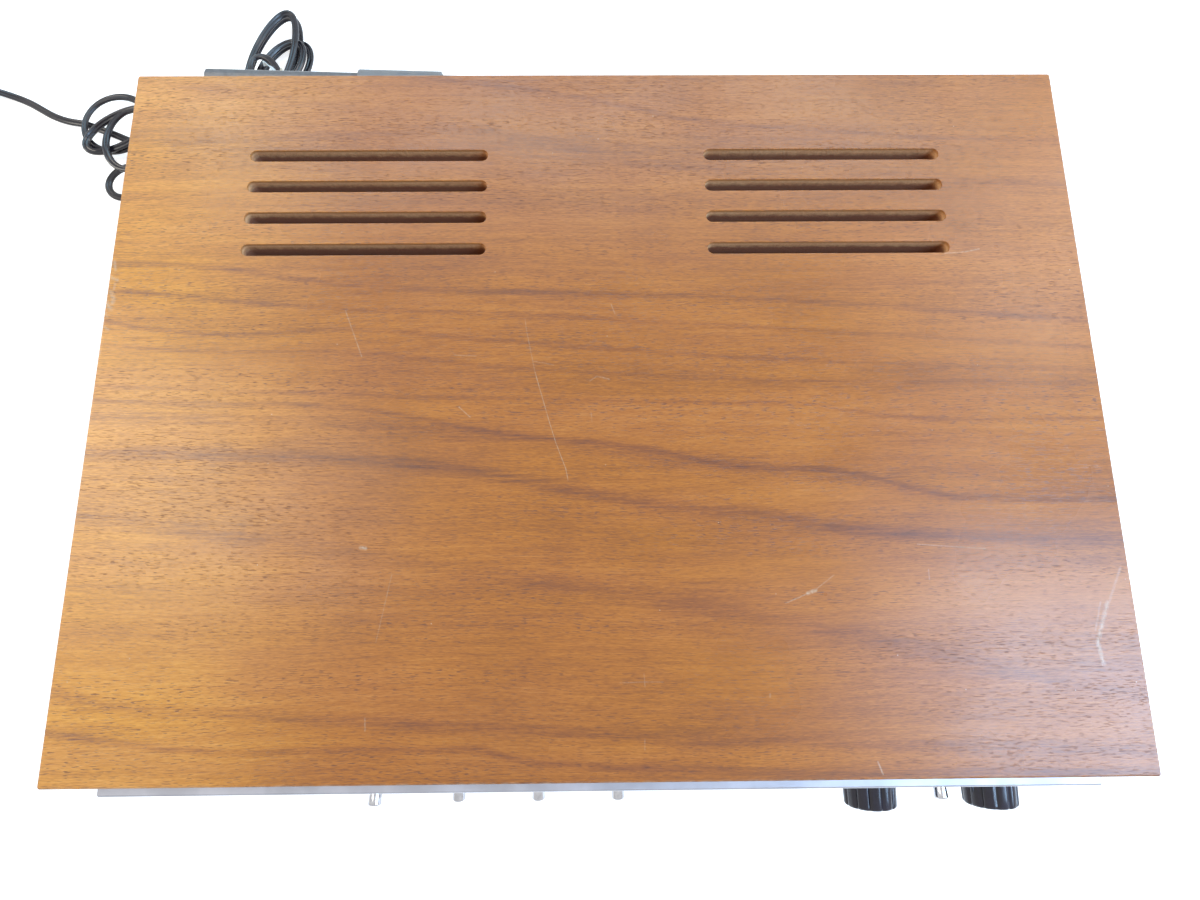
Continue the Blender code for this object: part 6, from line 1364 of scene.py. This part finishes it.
softened("phono_jacks", PHENOLIC, "phenolic")
softened("aerial_rod", FERRITE, "ferrite", 0.0004, 3)

# %% [markdown]
# ## Light, floor and background
# The photograph was taken in a white room: everything round the case is bright, and the light is so soft that it
# leaves hardly a shadow. Broad lamps stand to both sides and behind. The floor and the world look white to the
# camera and in reflections, while the light on the object stays plain.
# A lamp is (name, place, target, size, watts, colour).

# %% Light and floor
WHITE = (1.0, 1.0, 1.0, 1.0)
WORLD_LEVEL = 0.14
FLOOR_GREY = (0.86, 0.86, 0.86, 1.0)
FLOOR_GLOW, FLOOR_HALF = 0.76, 6.0
LAMPS = [
    ("left_lamp", (-1.15, 0.20, 1.02), (-0.10, 0.00, 0.14), (0.48, 1.70), 13.5, (1.0, 0.93, 0.80)),
    ("right_lamp", (0.97, -0.27, 1.02), (0.15, -0.10, 0.14), (0.46, 0.90), 19.0, (0.44, 0.68, 1.0)),
    ("right_rear_lamp", (0.97, 0.56, 1.02), (0.15, 0.05, 0.14), (0.42, 0.70), 4.2, (0.98, 0.97, 1.0)),
    ("rear_lamp", (-0.03, 1.00, 1.25), (0.0, 0.10, 0.14), (1.96, 0.42), 11.5, (0.42, 0.76, 1.0)),
]


def add_lamp(name, place, target, size, watts, colour):
    """A rectangular lamp that faces a target."""
    data = bpy.data.lights.new(name, "AREA")
    data.shape = "RECTANGLE"
    data.size, data.size_y = size
    data.energy, data.color = watts, colour
    lamp = show(name, data)
    lamp.location = place
    lamp.rotation_mode = "QUATERNION"
    lamp.rotation_quaternion = (Vector(place) - Vector(target)).to_track_quat("Z", "Y")


def seen_white(tree):
    """1 for camera, glossy and transmission rays, which should meet the white room, and 0 for the rest."""
    rays = add("ShaderNodeLightPath", tree=tree).outputs
    seen = calc("MAXIMUM", rays["Is Camera Ray"], rays["Is Glossy Ray"])
    return calc("MAXIMUM", seen, rays["Is Transmission Ray"])


def make_room():
    """A white world. It lights the object at a plain level and shows pure white."""
    world = bpy.data.worlds.new("room")
    world.use_nodes = True
    strength = remap(seen_white(world.node_tree), 0.0, 1.0, WORLD_LEVEL, 1.0)
    fill(world.node_tree.nodes["Background"], {"Color": WHITE, "Strength": strength})
    SCENE.world = world


def make_floor():
    """A pale floor that keeps soft shadows. Part of its white is a glow for the camera's rays alone."""
    material = bpy.data.materials.new("pale_floor")
    material.use_nodes = True
    tree = material.node_tree
    fill(tree.nodes["Principled BSDF"], {"Base Color": FLOOR_GREY, "Roughness": 0.9, "Emission Color": WHITE,
                                         "Emission Strength": times(seen_white(tree), FLOOR_GLOW)})
    mesh = bpy.data.meshes.new("floor")
    corners = [(FLOOR_HALF * x, FLOOR_HALF * y, 0.0) for x, y in ((-1, -1), (1, -1), (1, 1), (-1, 1))]
    mesh.from_pydata(corners, [], [(0, 1, 2, 3)])
    mesh.materials.append(material)
    show("floor", mesh)


make_room()
make_floor()
for lamp in LAMPS:
    add_lamp(*lamp)
print(len(LAMPS), "lamps")
